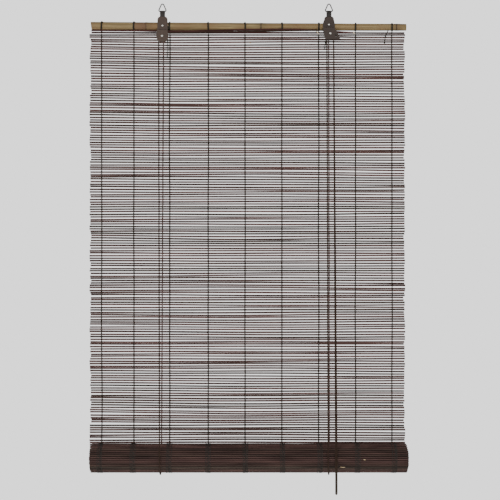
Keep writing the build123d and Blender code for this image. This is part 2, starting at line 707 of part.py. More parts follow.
def pull_route(number):
    """Route of one pull cord: out of the lock, down to the roll's front, and on to the end knot."""
    x = RIGHT_AXLE[0] + PULLEY_PITCH_RADIUS
    y = pulley_y(number)
    start = RIGHT_AXLE[1] - LOCK_TAIL_LENGTH
    hang = x + PULL_SPREAD[number]
    return [
        (x, y, start),
        (x, y, start - PULL_FIRST_RUN),
        (hang, CORD_FRONT_Y, ROLL_Z + PULL_BEND_ABOVE_ROLL),
        (hang, CORD_FRONT_Y, PULL_KNOT_LENGTH / 2 - PULL_CORD_DROP),
    ]


def pull_cord(number):
    """One pull cord, hanging from the lock and lying over the front of the roll."""
    points = [Vector(*point) for point in pull_route(number)]
    radii = []
    for before, corner, after in zip(points, points[1:], points[2:]):
        turn = math.radians((corner - before).get_angle(after - corner))
        shorter = min((corner - before).length, (after - corner).length)
        radii.append(0.45 * shorter / math.tan(turn / 2))
    print("pull cord", number, "bend radii", [round(radius) for radius in radii])
    return tube(FilletPolyline(*points, radius=radii), CORD_RADIUS)


def pull_knot(strands):
    """The knot that joins the two pull cords at their ends."""
    x = RIGHT_AXLE[0] + PULLEY_PITCH_RADIUS + sum(PULL_SPREAD) / 2
    low = Plane(origin=(x, CORD_FRONT_Y, -PULL_CORD_DROP), z_dir=(0, 0, 1))
    knot = extrude(low * RegularPolygon(PULL_KNOT_RADIUS, TUBE_SIDES), amount=PULL_KNOT_LENGTH)
    return knot - strands[0] - strands[1]


def build():
    """Every piece of the blind, by the name of its node."""
    strands = [pull_cord(number) for number in (0, 1)]
    nails = {"left_nail": nail(0, LEFT_NAIL_DROP), "right_nail": nail(HANGER_SPACING, RIGHT_NAIL_DROP)}
    left_x = LEFT_STAPLE_SHIFT
    right_x = HANGER_SPACING + RIGHT_STAPLE_SHIFT
    staples = {"left_cord_staple": staple(left_x), "right_cord_staple": staple(right_x)}
    stem = cane()
    for piece in (*nails.values(), *staples.values()):
        stem -= piece
    parts = {
        "bamboo_cane": stem,
        "head_lath": head_lath(),
        "slat_mat": slat_mat(),
        "slat_roll": slat_roll(),
        "bottom_lath": bottom_lath(),
        "left_hanger_ring": hanger_ring(0),
        "right_hanger_ring": hanger_ring(HANGER_SPACING),
        "left_hanger_strap": left_strap(),
        "right_hanger_strap": right_strap(),
        "left_pulley_cover": left_pulley_cover(),
        "right_lock_cover": right_lock_cover(),
        "left_pulley": pulley(LEFT_AXLE, 0),
        "right_rear_pulley": pulley(RIGHT_AXLE, 0),
        "right_front_pulley": pulley(RIGHT_AXLE, 1),
        "left_axle_rivet": axle_rivet(LEFT_AXLE, 1),
        "right_axle_rivet": axle_rivet(RIGHT_AXLE, 2),
        "lock_roller": lock_roller(),
        **nails,
        **staples,
        "left_cord_knot": staple_knot(left_x),
        "right_cord_knot": staple_knot(right_x),
        "left_back_cord": back_cord(left_x, LEFT_SLING_BACK_X),
        "right_back_cord": back_cord(right_x, RIGHT_SLING_BACK_X),
        "left_sling_cord": sling_cord(LEFT_SLING_FRONT_X, LEFT_SLING_BACK_X),
        "right_sling_cord": sling_cord(RIGHT_SLING_FRONT_X, RIGHT_SLING_BACK_X),
        "left_front_cord": front_cord(LEFT_AXLE, 0, LEFT_SLING_FRONT_X),
        "right_front_cord": front_cord(RIGHT_AXLE, 1, RIGHT_SLING_FRONT_X),
        "transfer_cord": transfer_cord(),
        "lock_cord": lock_cord(),
        "pull_knot": pull_knot(strands),
    }
    for number, place in enumerate(WARP_PLACES, start=1):
        parts[f"warp_thread_{number}"] = warp_thread(place)
    for name, strand in zip(("rear", "front"), strands):
        parts[f"pull_cord_{name}_upper"] = above(strand, ROLL_Z)
        parts[f"pull_cord_{name}_lower"] = split(strand, bisect_by=Plane.XY.offset(ROLL_Z), keep=Keep.BOTTOM)
    return parts


for name, piece in build().items():
    export_step(piece, f"parts/{name}.step")
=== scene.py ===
import math
import random

import bmesh
import bpy
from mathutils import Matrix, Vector, noise
from mathutils.geometry import tessellate_polygon


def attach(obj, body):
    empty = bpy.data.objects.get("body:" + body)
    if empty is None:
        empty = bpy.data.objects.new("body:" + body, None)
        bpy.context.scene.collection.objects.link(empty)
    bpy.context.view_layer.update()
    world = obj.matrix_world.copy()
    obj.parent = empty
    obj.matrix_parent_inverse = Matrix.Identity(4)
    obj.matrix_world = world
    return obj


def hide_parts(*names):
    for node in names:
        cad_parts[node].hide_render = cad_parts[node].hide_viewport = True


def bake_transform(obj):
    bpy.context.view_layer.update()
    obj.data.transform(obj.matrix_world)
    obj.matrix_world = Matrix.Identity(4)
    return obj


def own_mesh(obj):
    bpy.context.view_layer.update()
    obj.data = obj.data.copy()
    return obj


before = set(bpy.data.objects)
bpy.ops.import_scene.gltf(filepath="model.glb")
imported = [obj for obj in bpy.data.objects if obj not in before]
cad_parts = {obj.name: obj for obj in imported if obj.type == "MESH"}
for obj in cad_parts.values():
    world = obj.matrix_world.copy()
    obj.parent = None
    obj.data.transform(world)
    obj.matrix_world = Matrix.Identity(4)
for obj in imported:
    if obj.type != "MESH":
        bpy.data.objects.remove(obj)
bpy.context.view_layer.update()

# Bamboo cane
# A whole stem of yellow bamboo with its skin on, sawn off at both ends. The thick end is left,
# the skin is waxy, olive brown with fine long streaks, and dark where the leaf scars ring it.


def linear(hex_colour):
    """An sRGB hex value as linear RGBA."""
    parts = [int(hex_colour[i : i + 2], 16) / 255 for i in (1, 3, 5)]
    return [p / 12.92 if p <= 0.04045 else ((p + 0.055) / 1.055) ** 2.4 for p in parts] + [1.0]


def new_finish(name):
    """A material with its node tree and the shader in it."""
    finish = bpy.data.materials.new(name)
    finish.use_nodes = True
    tree = finish.node_tree
    return finish, tree, tree.nodes["Principled BSDF"]


def feed(tree, node, inputs):
    """Fills a node's inputs: a socket is linked, any other value is set."""
    for key, value in inputs.items():
        if isinstance(value, bpy.types.NodeSocket):
            tree.links.new(value, node.inputs[key])
        else:
            node.inputs[key].default_value = value


def add(tree, kind, output, inputs=None, **settings):
    """Adds a node with its settings and links, and gives one of its outputs. A Mix node's colours
    are its inputs 6 and 7, and their mix is its output 2."""
    node = tree.nodes.new("ShaderNode" + kind)
    for name, value in settings.items():
        setattr(node, name, value)
    feed(tree, node, inputs or {})
    return node.outputs[output]


def skin(shell, rings, capped=True):
    """Joins rings of points one after the other, and closes the two ends."""
    points, faces = shell
    start, sides = len(points), len(rings[0])
    for ring in rings:
        points.extend(ring)
    for row in range(len(rings) - 1):
        for k in range(sides):
            a = start + row * sides + k
            b = start + row * sides + (k + 1) % sides
            faces.append((a, b, b + sides, a + sides))
    if capped:
        last = start + (len(rings) - 1) * sides
        faces.append(tuple(start + k for k in reversed(range(sides))))
        faces.append(tuple(last + k for k in range(sides)))


def piece(name, shell, finish, body, smooth=True):
    """A mesh object with one material, riding on a body unless that is None."""
    points, faces = shell
    mesh = bpy.data.meshes.new(name)
    mesh.from_pydata([tuple(p) for p in points], [], faces)
    shape = bmesh.new()
    shape.from_mesh(mesh)
    bmesh.ops.recalc_face_normals(shape, faces=shape.faces)
    shape.to_mesh(mesh)
    shape.free()
    for face in mesh.polygons:
        face.use_smooth = smooth
    mesh.materials.append(finish)
    obj = bpy.data.objects.new(name, mesh)
    bpy.context.scene.collection.objects.link(obj)
    if body:
        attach(obj, body)
    return obj


CANE_LEFT = -0.2055
CANE_LENGTH = 0.9000
CANE_NODES = (0.1576, 0.4857, 0.8718)
# Distances from the thick end, and the radii there
CANE_SIZES = (
    (0, 0.0131),
    (0.15, 0.0124),
    (0.2055, 0.0120),
    (0.485, 0.0111),
    (0.679, 0.0105),
    (0.872, 0.0099),
    (0.9, 0.0096),
)
CANE_WALL = 0.0046
CANE_SIDES = 48
CANE_FRONT_Y = 0.00235
CANE_UNDERSIDE_Z = -0.0735
SAW_LEAN = math.tan(math.radians(8))
HANGERS = (0.0, 0.4736)


def cane_radius(along):
    """Radius of the cane at a distance from its thick end."""
    for (start, wide), (end, slim) in zip(CANE_SIZES, CANE_SIZES[1:]):
        if along <= end:
            share = max(0.0, (along - start) / (end - start))
            return wide + (slim - wide) * share
    return CANE_SIZES[-1][1]


def cane_middle(x):
    """Middle of the cane, which lies against both straps and is level underneath."""
    reach = 0.012 - 0.0015 * x / HANGERS[1]
    return Vector((x, CANE_FRONT_Y + reach, CANE_UNDERSIDE_Z + reach))


def node_swell(along):
    """How far the stem stands out near a leaf scar: a thin ridge, a groove, and a soft swelling."""
    out = 0.0
    for node in CANE_NODES:
        d = (along - node) * 1000
        out += 0.00045 * math.exp(-((d - 2.5) ** 2) / 9) + 0.00075 * math.exp(-(d**2) / 0.5)
        out -= 0.0004 * math.exp(-((d - 1.4) ** 2) / 0.5)
    return out


def stem_radius(along, angle):
    """Outer radius of the stem, which isn't quite round."""
    wobble = 0.00018 * noise.noise(Vector((along * 18, math.cos(angle), math.sin(angle))))
    return cane_radius(along) + node_swell(along) + wobble


def stem_ring(along, radius, deeper=0.0):
    """Points round the stem's middle. The saw cut at the thick end slants."""
    middle = cane_middle(CANE_LEFT + along)
    ring = []
    for k in range(CANE_SIDES):
        angle = 2 * math.pi * k / CANE_SIDES
        out = radius(angle) if callable(radius) else radius
        cut = 0 if along or deeper else SAW_LEAN * (0.013 - out * math.sin(angle))
        ring.append(middle + Vector((cut + deeper, out * math.cos(angle), out * math.sin(angle))))
    return ring


def bore(along, depth):
    """The hollow behind a saw cut, and the membrane that closes it."""
    inner = cane_radius(along) - CANE_WALL
    return [
        stem_ring(along, inner + 0.0003), stem_ring(along, inner, depth), stem_ring(along, 0.0005, depth)
    ]


stations = {0.0, CANE_LENGTH}
stations.update(0.015 * n for n in range(1, 60))
for node in CANE_NODES:
    stations.update(node + step / 1000 for step in (-8, -4, -2, -1, -0.5, 0, 0.5, 1, 1.5, 2, 3, 5, 8, 12))
outside = [stem_ring(along, lambda angle: stem_radius(along, angle)) for along in sorted(stations)]
shell = [], []
skin(shell, [*reversed(bore(0, 0.06)), *outside, *bore(CANE_LENGTH, -0.02)])

bamboo, tree, shader = new_finish("waxy_bamboo_skin")
spot = add(tree, "TexCoord", "Object")
# Long fibres under the skin, about 0.6 mm apart, gathered into 4 mm streaks so that they show
stretched = add(tree, "Mapping", "Vector", {"Vector": spot, "Scale": (9, 260, 260)})
fibres = add(tree, "TexNoise", "Fac", {"Vector": stretched, "Scale": 1.0, "Detail": 5, "Roughness": 0.6})
patches = add(tree, "TexNoise", "Fac", {"Vector": spot, "Scale": 14, "Detail": 3})
tone = add(tree, "MapRange", "Result", {"Value": fibres, "From Min": 0.3, "From Max": 0.7})
skin_colour = add(tree, "Mix", 2, {0: tone, 6: linear("#5f4f33"), 7: linear("#8f7c57")}, data_type="RGBA")
ageing = add(tree, "MapRange", "Result", {"Value": patches, "From Min": 0.42, "From Max": 0.68})
aged = add(tree, "Mix", 2, {0: ageing, 6: skin_colour, 7: linear("#6f583c")}, data_type="RGBA")
across = add(tree, "SeparateXYZ", "X", {"Vector": spot})
colour = aged
for node in CANE_NODES:
    # The leaf scar's dark line, and the smoky skin next to it
    off = add(tree, "Math", 0, {0: across, 1: CANE_LEFT + node}, operation="SUBTRACT")
    near = add(tree, "Math", 0, {0: off}, operation="ABSOLUTE")
    line = add(
        tree,
        "MapRange",
        "Result",
        {"Value": near, "From Min": 0.0008, "From Max": 0.0026, "To Min": 0.9, "To Max": 0.0},
    )
    smoke = add(
        tree,
        "MapRange",
        "Result",
        {"Value": near, "From Min": 0.001, "From Max": 0.022, "To Min": 0.35, "To Max": 0.0},
    )
    both = add(tree, "Math", 0, {0: line, 1: smoke}, operation="MAXIMUM")
    colour = add(tree, "Mix", 2, {0: both, 6: colour, 7: linear("#2a1c12")}, data_type="RGBA")
# The red brown skin of the short stretch before the first leaf scar
start = add(tree, "MapRange", "Result", {"Value": across, "From Min": -0.085, "From Max": -0.079})
stop = add(tree, "MapRange", "Result", {"Value": across, "From Min": -0.046, "From Max": -0.048})
stretch = add(tree, "Math", 0, {0: start, 1: stop}, operation="MULTIPLY")
stretch = add(tree, "Math", 0, {0: stretch, 1: 0.65}, operation="MULTIPLY")
colour = add(tree, "Mix", 2, {0: stretch, 6: colour, 7: linear("#5e4432")}, data_type="RGBA")
# Painted shade along the top and the underside, which face away from the light from the front
facing = add(tree, "SeparateXYZ", "Z", {"Vector": add(tree, "NewGeometry", "Normal")})
facing = add(tree, "Math", 0, {0: facing}, operation="ABSOLUTE")
painted_edge_shade = add(
    tree, "MapRange", "Result", {"Value": facing, "From Min": 0.80, "From Max": 0.985, "To Max": 0.85}
)
colour = add(tree, "Mix", 2, {0: painted_edge_shade, 6: colour, 7: linear("#2c2016")}, data_type="RGBA")
gloss = add(tree, "MapRange", "Result", {"Value": fibres, "To Min": 0.45, "To Max": 0.65})
bump = add(tree, "Bump", "Normal", {"Strength": 0.25, "Distance": 0.0004, "Height": fibres})
feed(tree, shader, {"Base Color": colour, "Roughness": gloss, "Normal": bump, "Specular IOR Level": 0.2})

cane = piece("cane", shell, bamboo, "head")
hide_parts("bamboo_cane")

# Hanging slats
# Split bamboo laths, 3.6 mm high but drawn 4.9 so that they show, stained dark brown. They were
# split by hand, so each bends a little, its width and shade vary, and the ends don't line up.

SLAT_PITCH = 0.0070
SLAT_HEIGHT = 0.0049
SLAT_THICKNESS = 0.0019
SLATS_LEFT = -0.2070
SLATS_RIGHT = 0.6900
SLAT_OVERHANG = 0.0022
# Middles of two slats that touch
CLOSEST = 1.10 * SLAT_HEIGHT
STATION = 0.015
STATIONS = 62
LATH_STEPS = 30
MAT_Y = 0.0128
MAT_TOP = -0.0831
HANGING = 172
WARPS = (-0.174, -0.082, 0.020, 0.130, 0.235, 0.340, 0.445, 0.550, 0.654)
# Height of the roll's axis
ROLL_Z = -1.2871


def slat_drift(row, x):
    """How far a slat would lie above or below its even place, partly together with its neighbours."""
    together = noise.noise(Vector((x * 2.1, row * 0.11, 2.0)))
    alone = noise.noise(Vector((x * 1.9, row * 1.37, 9.0)))
    ends = min(1.0, row / 3, (HANGING - row) / 3)
    # At the left the upper slats rise, so that they slope down towards the hanger
    lift = 0.0036 * max(0.0, (0.02 - x) / 0.227) * min(1.0, row / 6) * max(0.0, 1 - row / 70)
    if row == 1:
        # Behind the cord lock the second slat is pushed up against the first
        lift += 0.0017 * math.exp(-(((x - 0.4935) / 0.05) ** 2))
    return ends * (0.0024 * together + 0.0025 * alone) + lift


def lay_mat():
    """Heights of all slats at even places along them. Where two would cross, they touch."""
    rows = []
    for row in range(HANGING + 1):
        even = MAT_TOP - row * SLAT_PITCH - SLAT_HEIGHT / 2
        places = [even + slat_drift(row, SLATS_LEFT + n * STATION) for n in range(STATIONS)]
        if rows:
            places = [min(place, above - CLOSEST) for place, above in zip(places, rows[-1])]
        rows.append(places)
    return rows


SLAT_PLACES = lay_mat()


def slat_middle(row, x):
    """Height of a slat's middle."""
    along = max(0.0, min(STATIONS - 1.001, (x - SLATS_LEFT) / STATION))
    left = int(along)
    places = SLAT_PLACES[row]
    return places[left] + (places[left + 1] - places[left]) * (along - left)


def slat_ends(row):
    """Where a slat was cut off, left and right."""
    group = noise.noise(Vector((0.5, row * 0.21, 4.0)))
    single = noise.noise(Vector((3.5, row * 2.3, 6.0)))
    other = noise.noise(Vector((7.5, row * 1.9, 1.0)))
    left = SLATS_LEFT + 0.0035 * group + 0.0028 * single
    right = SLATS_RIGHT - 0.0030 * group + 0.0030 * other
    return max(left, SLATS_LEFT - SLAT_OVERHANG), min(right, SLATS_RIGHT + SLAT_OVERHANG)


# Skin side slightly crowned, inner side flat, corners worn round
SPLIT_OUTLINE = ((-1, 0), (-0.86, 0.62), (-0.45, 0.97), (0.7, 1), (1, 0.8))
SECTION_POINTS = 2 * len(SPLIT_OUTLINE) - 1
LATH_POINTS = SECTION_POINTS * (LATH_STEPS + 1)


def lath_section(outline, height, thickness):
    """A lath's section from its outline's upper half, in half thicknesses and half heights."""
    whole = [*outline, *((out, -up) for out, up in outline[:0:-1])]
    return [(out * thickness / 2, up * height / 2) for out, up in whole]


def lay_lath(shell, ends, middle, height, y, seed):
    """One lath between its ends, with its own width, thickness and twist."""
    rings = []
    for n in range(LATH_STEPS + 1):
        x = ends[0] + (ends[1] - ends[0]) * n / LATH_STEPS
        wide = height * (1 + 0.07 * noise.noise(Vector((x * 7, seed * 3.7, 1.0))))
        thick = SLAT_THICKNESS * (1 + 0.12 * noise.noise(Vector((x * 5, seed * 2.9, 5.0))))
        twist = 0.16 * noise.noise(Vector((x * 4, seed * 1.3, 8.0)))
        z = middle(x)
        section = lath_section(SPLIT_OUTLINE, wide, thick)
        rings.append([Vector((x, y + a + b * twist, z + b - a * twist)) for a, b in section])
    skin(shell, rings)


def shade_pieces(obj, per_lath, shades):
    """Writes each lath's own shade on its points: from 0 to 1 for its tone, below 0 for painted shade."""
    tone = obj.data.attributes.new("shade", "FLOAT", "POINT")
    values = [shades[i // per_lath] for i in range(len(obj.data.vertices))]
    tone.data.foreach_set("value", values)


random.seed(11)
shell = [], []
for row in range(HANGING):
    height = SLAT_HEIGHT * random.uniform(0.98, 1.12)
    lay_lath(shell, slat_ends(row), lambda x: slat_middle(row, x), height, MAT_Y, row)


def stained_finish(name, dark, warm, olive, pale):
    """Bamboo dipped in brown stain: it takes unevenly, darker in some laths and redder in others."""
    finish, tree, shader = new_finish(name)
    spot = add(tree, "TexCoord", "Object")
    shade = add(tree, "Attribute", "Fac", attribute_name="shade")
    # Fibres are 0.3 mm apart, drawn about 1 mm apart, and the stain has streaks 140 mm long
    fine = add(tree, "Mapping", "Vector", {"Vector": spot, "Scale": (12, 700, 900)})
    fibres = add(tree, "TexNoise", "Fac", {"Vector": fine, "Scale": 1.0, "Detail": 4, "Roughness": 0.65})
    long = add(tree, "Mapping", "Vector", {"Vector": spot, "Scale": (7, 60, 170)})
    streaks = add(tree, "TexNoise", "Fac", {"Vector": long, "Scale": 1.0, "Detail": 3})
    warmth = add(tree, "MapRange", "Result", {"Value": shade, "From Min": 0.35, "From Max": 0.8})
    green = add(tree, "MapRange", "Result", {"Value": shade, "From Min": 0.3, "From Max": 0.0})
    base = add(tree, "Mix", 2, {0: warmth, 6: linear(dark), 7: linear(warm)}, data_type="RGBA")
    base = add(tree, "Mix", 2, {0: green, 6: base, 7: linear(olive)}, data_type="RGBA")
    uneven = add(
        tree,
        "MapRange",
        "Result",
        {"Value": streaks, "From Min": 0.35, "From Max": 0.7, "To Min": 0.55, "To Max": 1.35},
    )
    base = add(tree, "VectorMath", 0, {0: base, "Scale": uneven}, operation="SCALE")
    # Laths inside the roll have a negative shade: they get painted shade, nearly black, between the
    # others
    painted_inner_shade = add(
        tree,
        "MapRange",
        "Result",
        {"Value": shade, "From Min": -0.5, "From Max": -0.1, "To Min": 0.25, "To Max": 1.0},
    )
    base = add(tree, "VectorMath", 0, {0: base, "Scale": painted_inner_shade}, operation="SCALE")
    # Where a lath was rubbed, the stain is gone and the pale wood shows
    rubbed = add(tree, "TexNoise", "Fac", {"Vector": long, "Scale": 2.3, "Detail": 6, "Roughness": 0.7})
    worn = add(tree, "MapRange", "Result", {"Value": rubbed, "From Min": 0.7, "From Max": 0.76})
    base = add(tree, "Mix", 2, {0: worn, 6: base, 7: linear(pale)}, data_type="RGBA")
    rough = add(tree, "MapRange", "Result", {"Value": fibres, "To Min": 0.5, "To Max": 0.8})
    bump = add(tree, "Bump", "Normal", {"Strength": 0.35, "Distance": 0.0003, "Height": fibres})
    feed(
        tree, shader, {"Base Color": base, "Roughness": rough, "Normal": bump, "Specular IOR Level": 0.15}
    )
    return finish


def gather(obj):
    """Gives a hanging piece its own copy of its mesh."""
    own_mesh(obj)


stained = stained_finish("brown_stained_bamboo", "#402f2a", "#4f3a36", "#3c342d", "#8d7355")
mat = piece("hanging_slats", shell, stained, "head")
shade_pieces(mat, LATH_POINTS, [random.random() for _ in range(HANGING)])
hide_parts("slat_mat")
gather(mat)

# Head laths
# Two laths close under the cane, redder than the slats. The cane's ties hold the rear one on the
# mat's line and press the front one to the cane's underside. A stretch of it was split off.

REAR_LATH = ((-0.2035, -0.0786), (0.0, -0.0796), (0.26, -0.0790), (0.45, -0.0794), (0.6895, -0.0800))
FRONT_LATH = (
    (-0.2030, -0.0735),
    (-0.0900, -0.0741),
    (-0.0100, -0.0755),
    (0.0200, -0.0768),
    (0.0700, -0.0766),
    (0.1300, -0.0742),
    (0.2600, -0.0712),
    (0.3600, -0.0704),
    (0.4400, -0.0735),
)
SPLIT_STRETCH = ((0.4900, -0.0768), (0.5440, -0.0796))


def along_points(route, x):
    """Height at a place on a bent line, eased from one point to the next."""
    for (start, high), (end, low) in zip(route, route[1:]):
        if x <= end:
            share = max(0.0, (x - start) / (end - start))
            return high + (low - high) * share * share * (3 - 2 * share)
    return route[-1][1]


red_stained = stained_finish("red_brown_stained_bamboo", "#2a1613", "#40201c", "#33201a", "#9a7c58")


def lay_head_laths(name, laths, tones):
    """Laths along their routes, each with its height, its place in Y and its seed."""
    shell = [], []
    for route, height, y, seed in laths:
        lay_lath(shell, (route[0][0], route[-1][0]), lambda x: along_points(route, x), height, y, seed)
    lath = piece(name, shell, red_stained, "head")
    shade_pieces(lath, LATH_POINTS, tones)
    return lath


rear = lay_head_laths("head_lath_rear", [(REAR_LATH, 0.0052, MAT_Y, 501)], [0.6])
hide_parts("head_lath")
front = [(FRONT_LATH, 0.0050, 0.0044, 777), (SPLIT_STRETCH, 0.0042, 0.0076, 640)]
lay_head_laths("head_lath_front", front, [0.7, 0.95])

# Rolled slats
# The lower part of the blind, wound up round the bottom lath. It turns as it climbs. From the
# front its slats lie almost edge to edge, and at the ends they stick out unevenly.

ROLL_Y = -0.0282
ROLL_RADIUS = 0.0410
ROLL_SPACING = 0.0042
ROLL_PITCH = 0.0059
ROLL_RIGHTMOST = 0.6943
# The outer turn is slack on top
TOP_SLACK = 0.0026
ROLLED = 99
# Slats of the outer turn, which shows
OUTER = 44
ROLLED_STEPS = 24
# Skin side outwards and crowned
CROWNED_OUTLINE = ((-1, 0), (-0.8, 0.5), (-0.2, 0.88), (0.5, 1), (1, 0.9))


def spiral(length):
    """Turned angle and radius at a length along the roll from its outer end."""
    inside = ROLL_RADIUS**2 - ROLL_SPACING * length / math.pi
    angle = (ROLL_RADIUS - math.sqrt(inside)) * 2 * math.pi / ROLL_SPACING
    slack = TOP_SLACK * max(0.0, math.sin(angle - math.pi)) if angle < 2 * math.pi else 0
    return angle, ROLL_RADIUS - ROLL_SPACING * angle / (2 * math.pi) + slack


def on_roll(angle, radius, x, out=0.0, along=0.0):
    """A place on the roll: out from its axis, and along its turn."""
    y = (radius + out) * math.cos(angle) - along * math.sin(angle)
    z = -(radius + out) * math.sin(angle) - along * math.cos(angle)
    return Vector((x, ROLL_Y + y, ROLL_Z + z))


def roll_ends(number, angle):
    """The rolled slats drift sideways turn by turn, so at the front they stick out furthest."""
    front = max(0.0, -math.cos(angle))
    uneven = noise.noise(Vector((number * 3.3, 1.0, 5.0))), noise.noise(Vector((number * 2.7, 8.0, 5.0)))
    left = -0.1985 - 0.0033 * front + 0.0024 * uneven[0]
    right = 0.6893 + 0.0048 * front + 0.0026 * uneven[1]
    return left, min(right, ROLL_RIGHTMOST)


shell = [], []
roll_tones_and_inner_shade = []
for number in range(ROLLED):
    # The covered turns are pushed together until hardly any light comes through
    height = random.uniform(0.0043, 0.0050) if number < OUTER else 0.0058
    angle, radius = spiral(number * ROLL_PITCH + SLAT_HEIGHT / 2)
    left, right = roll_ends(number, angle)
    rings = []
    for n in range(ROLLED_STEPS + 1):
        x = left + (right - left) * n / ROLLED_STEPS
        shift = 0.0006 * noise.noise(Vector((x * 4, number * 0.9, 3.0)))
        wide = height * (1 + 0.08 * noise.noise(Vector((x * 7, number * 3.1, 2.0))))
        section = lath_section(CROWNED_OUTLINE, wide, SLAT_THICKNESS)
        rings.append([on_roll(angle, radius, x, -a, b + shift) for a, b in section])
    skin(shell, rings)
    # The covered laths get the negative shade, at which the stain is painted nearly black as shade
    roll_tones_and_inner_shade.append(random.random() if number < OUTER else -0.5)
roll = piece("rolled_slats", shell, stained, "roll")
shade_pieces(roll, SECTION_POINTS * (ROLLED_STEPS + 1), roll_tones_and_inner_shade)
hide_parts("slat_roll")

# Bottom lath
# A stiff planed lath, 25 by 5 mm with rounded corners, stained like the slats. It is the end of
# the blind and the core that the slats are wound round, so only its ends can be seen.

# Length of the mat that is rolled up, as far as the lath
ROLLED_LENGTH = 0.588
CORE_WIDTH = 0.025
CORE_THICKNESS = 0.005
CORE_CORNER = 0.0014
CORE_LEFT = -0.1985
CORE_RIGHT = 0.6815
CORE_OUT = 0.0272
CORE_GAP = 0.0034

angle, radius = spiral(ROLLED_LENGTH)
angle += (CORE_WIDTH / 2 + CORE_GAP) / radius
section = []
for quarter, (side, end) in enumerate(((1, 1), (-1, 1), (-1, -1), (1, -1))):
    for n in range(5):
        turn = math.pi / 2 * (quarter + n / 4)
        out = side * (CORE_THICKNESS / 2 - CORE_CORNER) + CORE_CORNER * math.cos(turn)
        section.append((out, end * (CORE_WIDTH / 2 - CORE_CORNER) + CORE_CORNER * math.sin(turn)))
shell = [], []
rings = []
# The sawn ends are eased by a millimetre
between = [CORE_LEFT + 0.02 * n for n in range(1, 44)]
for x in (CORE_LEFT, CORE_LEFT + 0.001, *between, CORE_RIGHT - 0.001, CORE_RIGHT):
    bow = 0.0004 * noise.noise(Vector((x * 3, 2.0, 7.0)))
    slim = 0.94 if x in (CORE_LEFT, CORE_RIGHT) else 1.0
    rings.append([on_roll(angle, CORE_OUT + bow, x, slim * out, slim * along) for out, along in section])
skin(shell, rings)
core = piece("bottom_lath_stained", shell, stained, "roll")
shade_pieces(core, len(shell[0]), [0.45])
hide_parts("bottom_lath")

# Warp threads
# Pairs of dark green grey cotton threads tied round the cane, 2.1 mm a strand as drawn. The two
# twist half a turn between one slat and the next, so each slat lies between them.

THREAD_RADIUS = 0.00105
WARP_TOP = MAT_TOP + 0.009
# Points of a strand from one slat to the next
STRAND_STEPS = 6


def tube_rings(path, radius, sides=6, closed=False):
    """Rings of points round a path, turned as little as can be from one to the next."""
    rings = []
    count = len(path)
    side = None
    for i, middle in enumerate(path):
        before = path[i - 1] if i or closed else path[0]
        after = path[(i + 1) % count] if i < count - 1 or closed else path[-1]
        ahead = (after - before).normalized()
        if side is None:
            side = ahead.orthogonal().normalized()
        side = (side - ahead * side.dot(ahead)).normalized()
        up = ahead.cross(side)
        wide = radius(i / (count - 1)) if callable(radius) else radius
        turns = [2 * math.pi * k / sides for k in range(sides)]
        rings.append([middle + wide * (side * math.cos(a) + up * math.sin(a)) for a in turns])
    if closed:
        rings.append(rings[0])
    return rings


def strand_place(turns, side):
    """Where a strand lies: behind or before the slat at whole turns, beside its fellow between."""
    swing = max(-1.0, min(1.0, 1.5 * math.cos(math.pi * turns)))
    reach = SLAT_THICKNESS / 2 + THREAD_RADIUS
    return side * reach * swing, side * THREAD_RADIUS * math.sqrt(1 - swing**2)


def warp_line(thread, z):
    """A thread doesn't hang quite straight: it wanders by a fraction of a millimetre."""
    return WARPS[thread] + 0.0016 * noise.noise(Vector((thread * 5.0, z * 4, 0.0)))


def cotton_finish(name, dark, light, faded):
    """Twisted cotton, dyed and soiled."""
    cotton, tree, shader = new_finish(name)
    spot = add(tree, "TexCoord", "Object")
    # Two-ply twist, 2.4 mm long
    ply = add(
        tree,
        "TexWave",
        "Fac",
        {"Vector": spot, "Scale": 260, "Distortion": 2.0},
        bands_direction="DIAGONAL",
    )
    fade = add(tree, "TexNoise", "Fac", {"Vector": spot, "Scale": 30, "Detail": 2})
    mixed = add(tree, "Mix", 2, {0: ply, 6: linear(dark), 7: linear(light)}, data_type="RGBA")
    mixed = add(tree, "Mix", 2, {0: fade, 6: mixed, 7: linear(faded)}, data_type="RGBA")
    bump = add(tree, "Bump", "Normal", {"Strength": 0.5, "Distance": 0.0002, "Height": ply})
    feed(tree, shader, {"Base Color": mixed, "Normal": bump, "Roughness": 0.9, "Specular IOR Level": 0.1})
    return cotton


cotton = cotton_finish("twisted_cotton_thread", "#1d1d19", "#35342d", "#322c24")
dusty_cotton = cotton_finish("dusty_cotton_thread", "#272826", "#3e403d", "#353330")

for thread, place in enumerate(WARPS):
    shell = [], []
    for side in (-1, 1):
        path = [Vector((warp_line(thread, MAT_TOP), MAT_Y - side * 0.0012, WARP_TOP))]
        for n in range(HANGING * STRAND_STEPS + 1):
            row, step = divmod(n, STRAND_STEPS)
            above, below = slat_middle(row, place), slat_middle(min(row + 1, HANGING), place)
            z = max(above + (below - above) * step / STRAND_STEPS, ROLL_Z + 0.0002)
            y, x = strand_place(n / STRAND_STEPS, side)
            path.append(Vector((warp_line(thread, z) + x, MAT_Y + y, z)))
        skin(shell, tube_rings(path, THREAD_RADIUS, 5))
    warp = piece(f"warp_{thread + 1}", shell, cotton, "head")
    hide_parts(f"warp_thread_{thread + 1}")
    gather(warp)

# Bare bamboo
# The pale inside of the stem, seen where a lath was split or scuffed.

bare, tree, shader = new_finish("bare_split_bamboo")
spot = add(tree, "TexCoord", "Object")
stretched = add(tree, "Mapping", "Vector", {"Vector": spot, "Scale": (60, 900, 900)})
fibres = add(tree, "TexNoise", "Fac", {"Vector": stretched, "Scale": 1.0, "Detail": 4})
pale = add(tree, "Mix", 2, {0: fibres, 6: linear("#a98b62"), 7: linear("#e0cba6")}, data_type="RGBA")
bump = add(tree, "Bump", "Normal", {"Strength": 0.4, "Distance": 0.0003, "Height": fibres})
feed(tree, shader, {"Base Color": pale, "Normal": bump, "Roughness": 0.75})

# Threads on the roll
# The same warp threads go on round the roll, one strand outside and one inside each slat. Those
# of the turns beneath have slipped sideways and show beside them as a dark band.

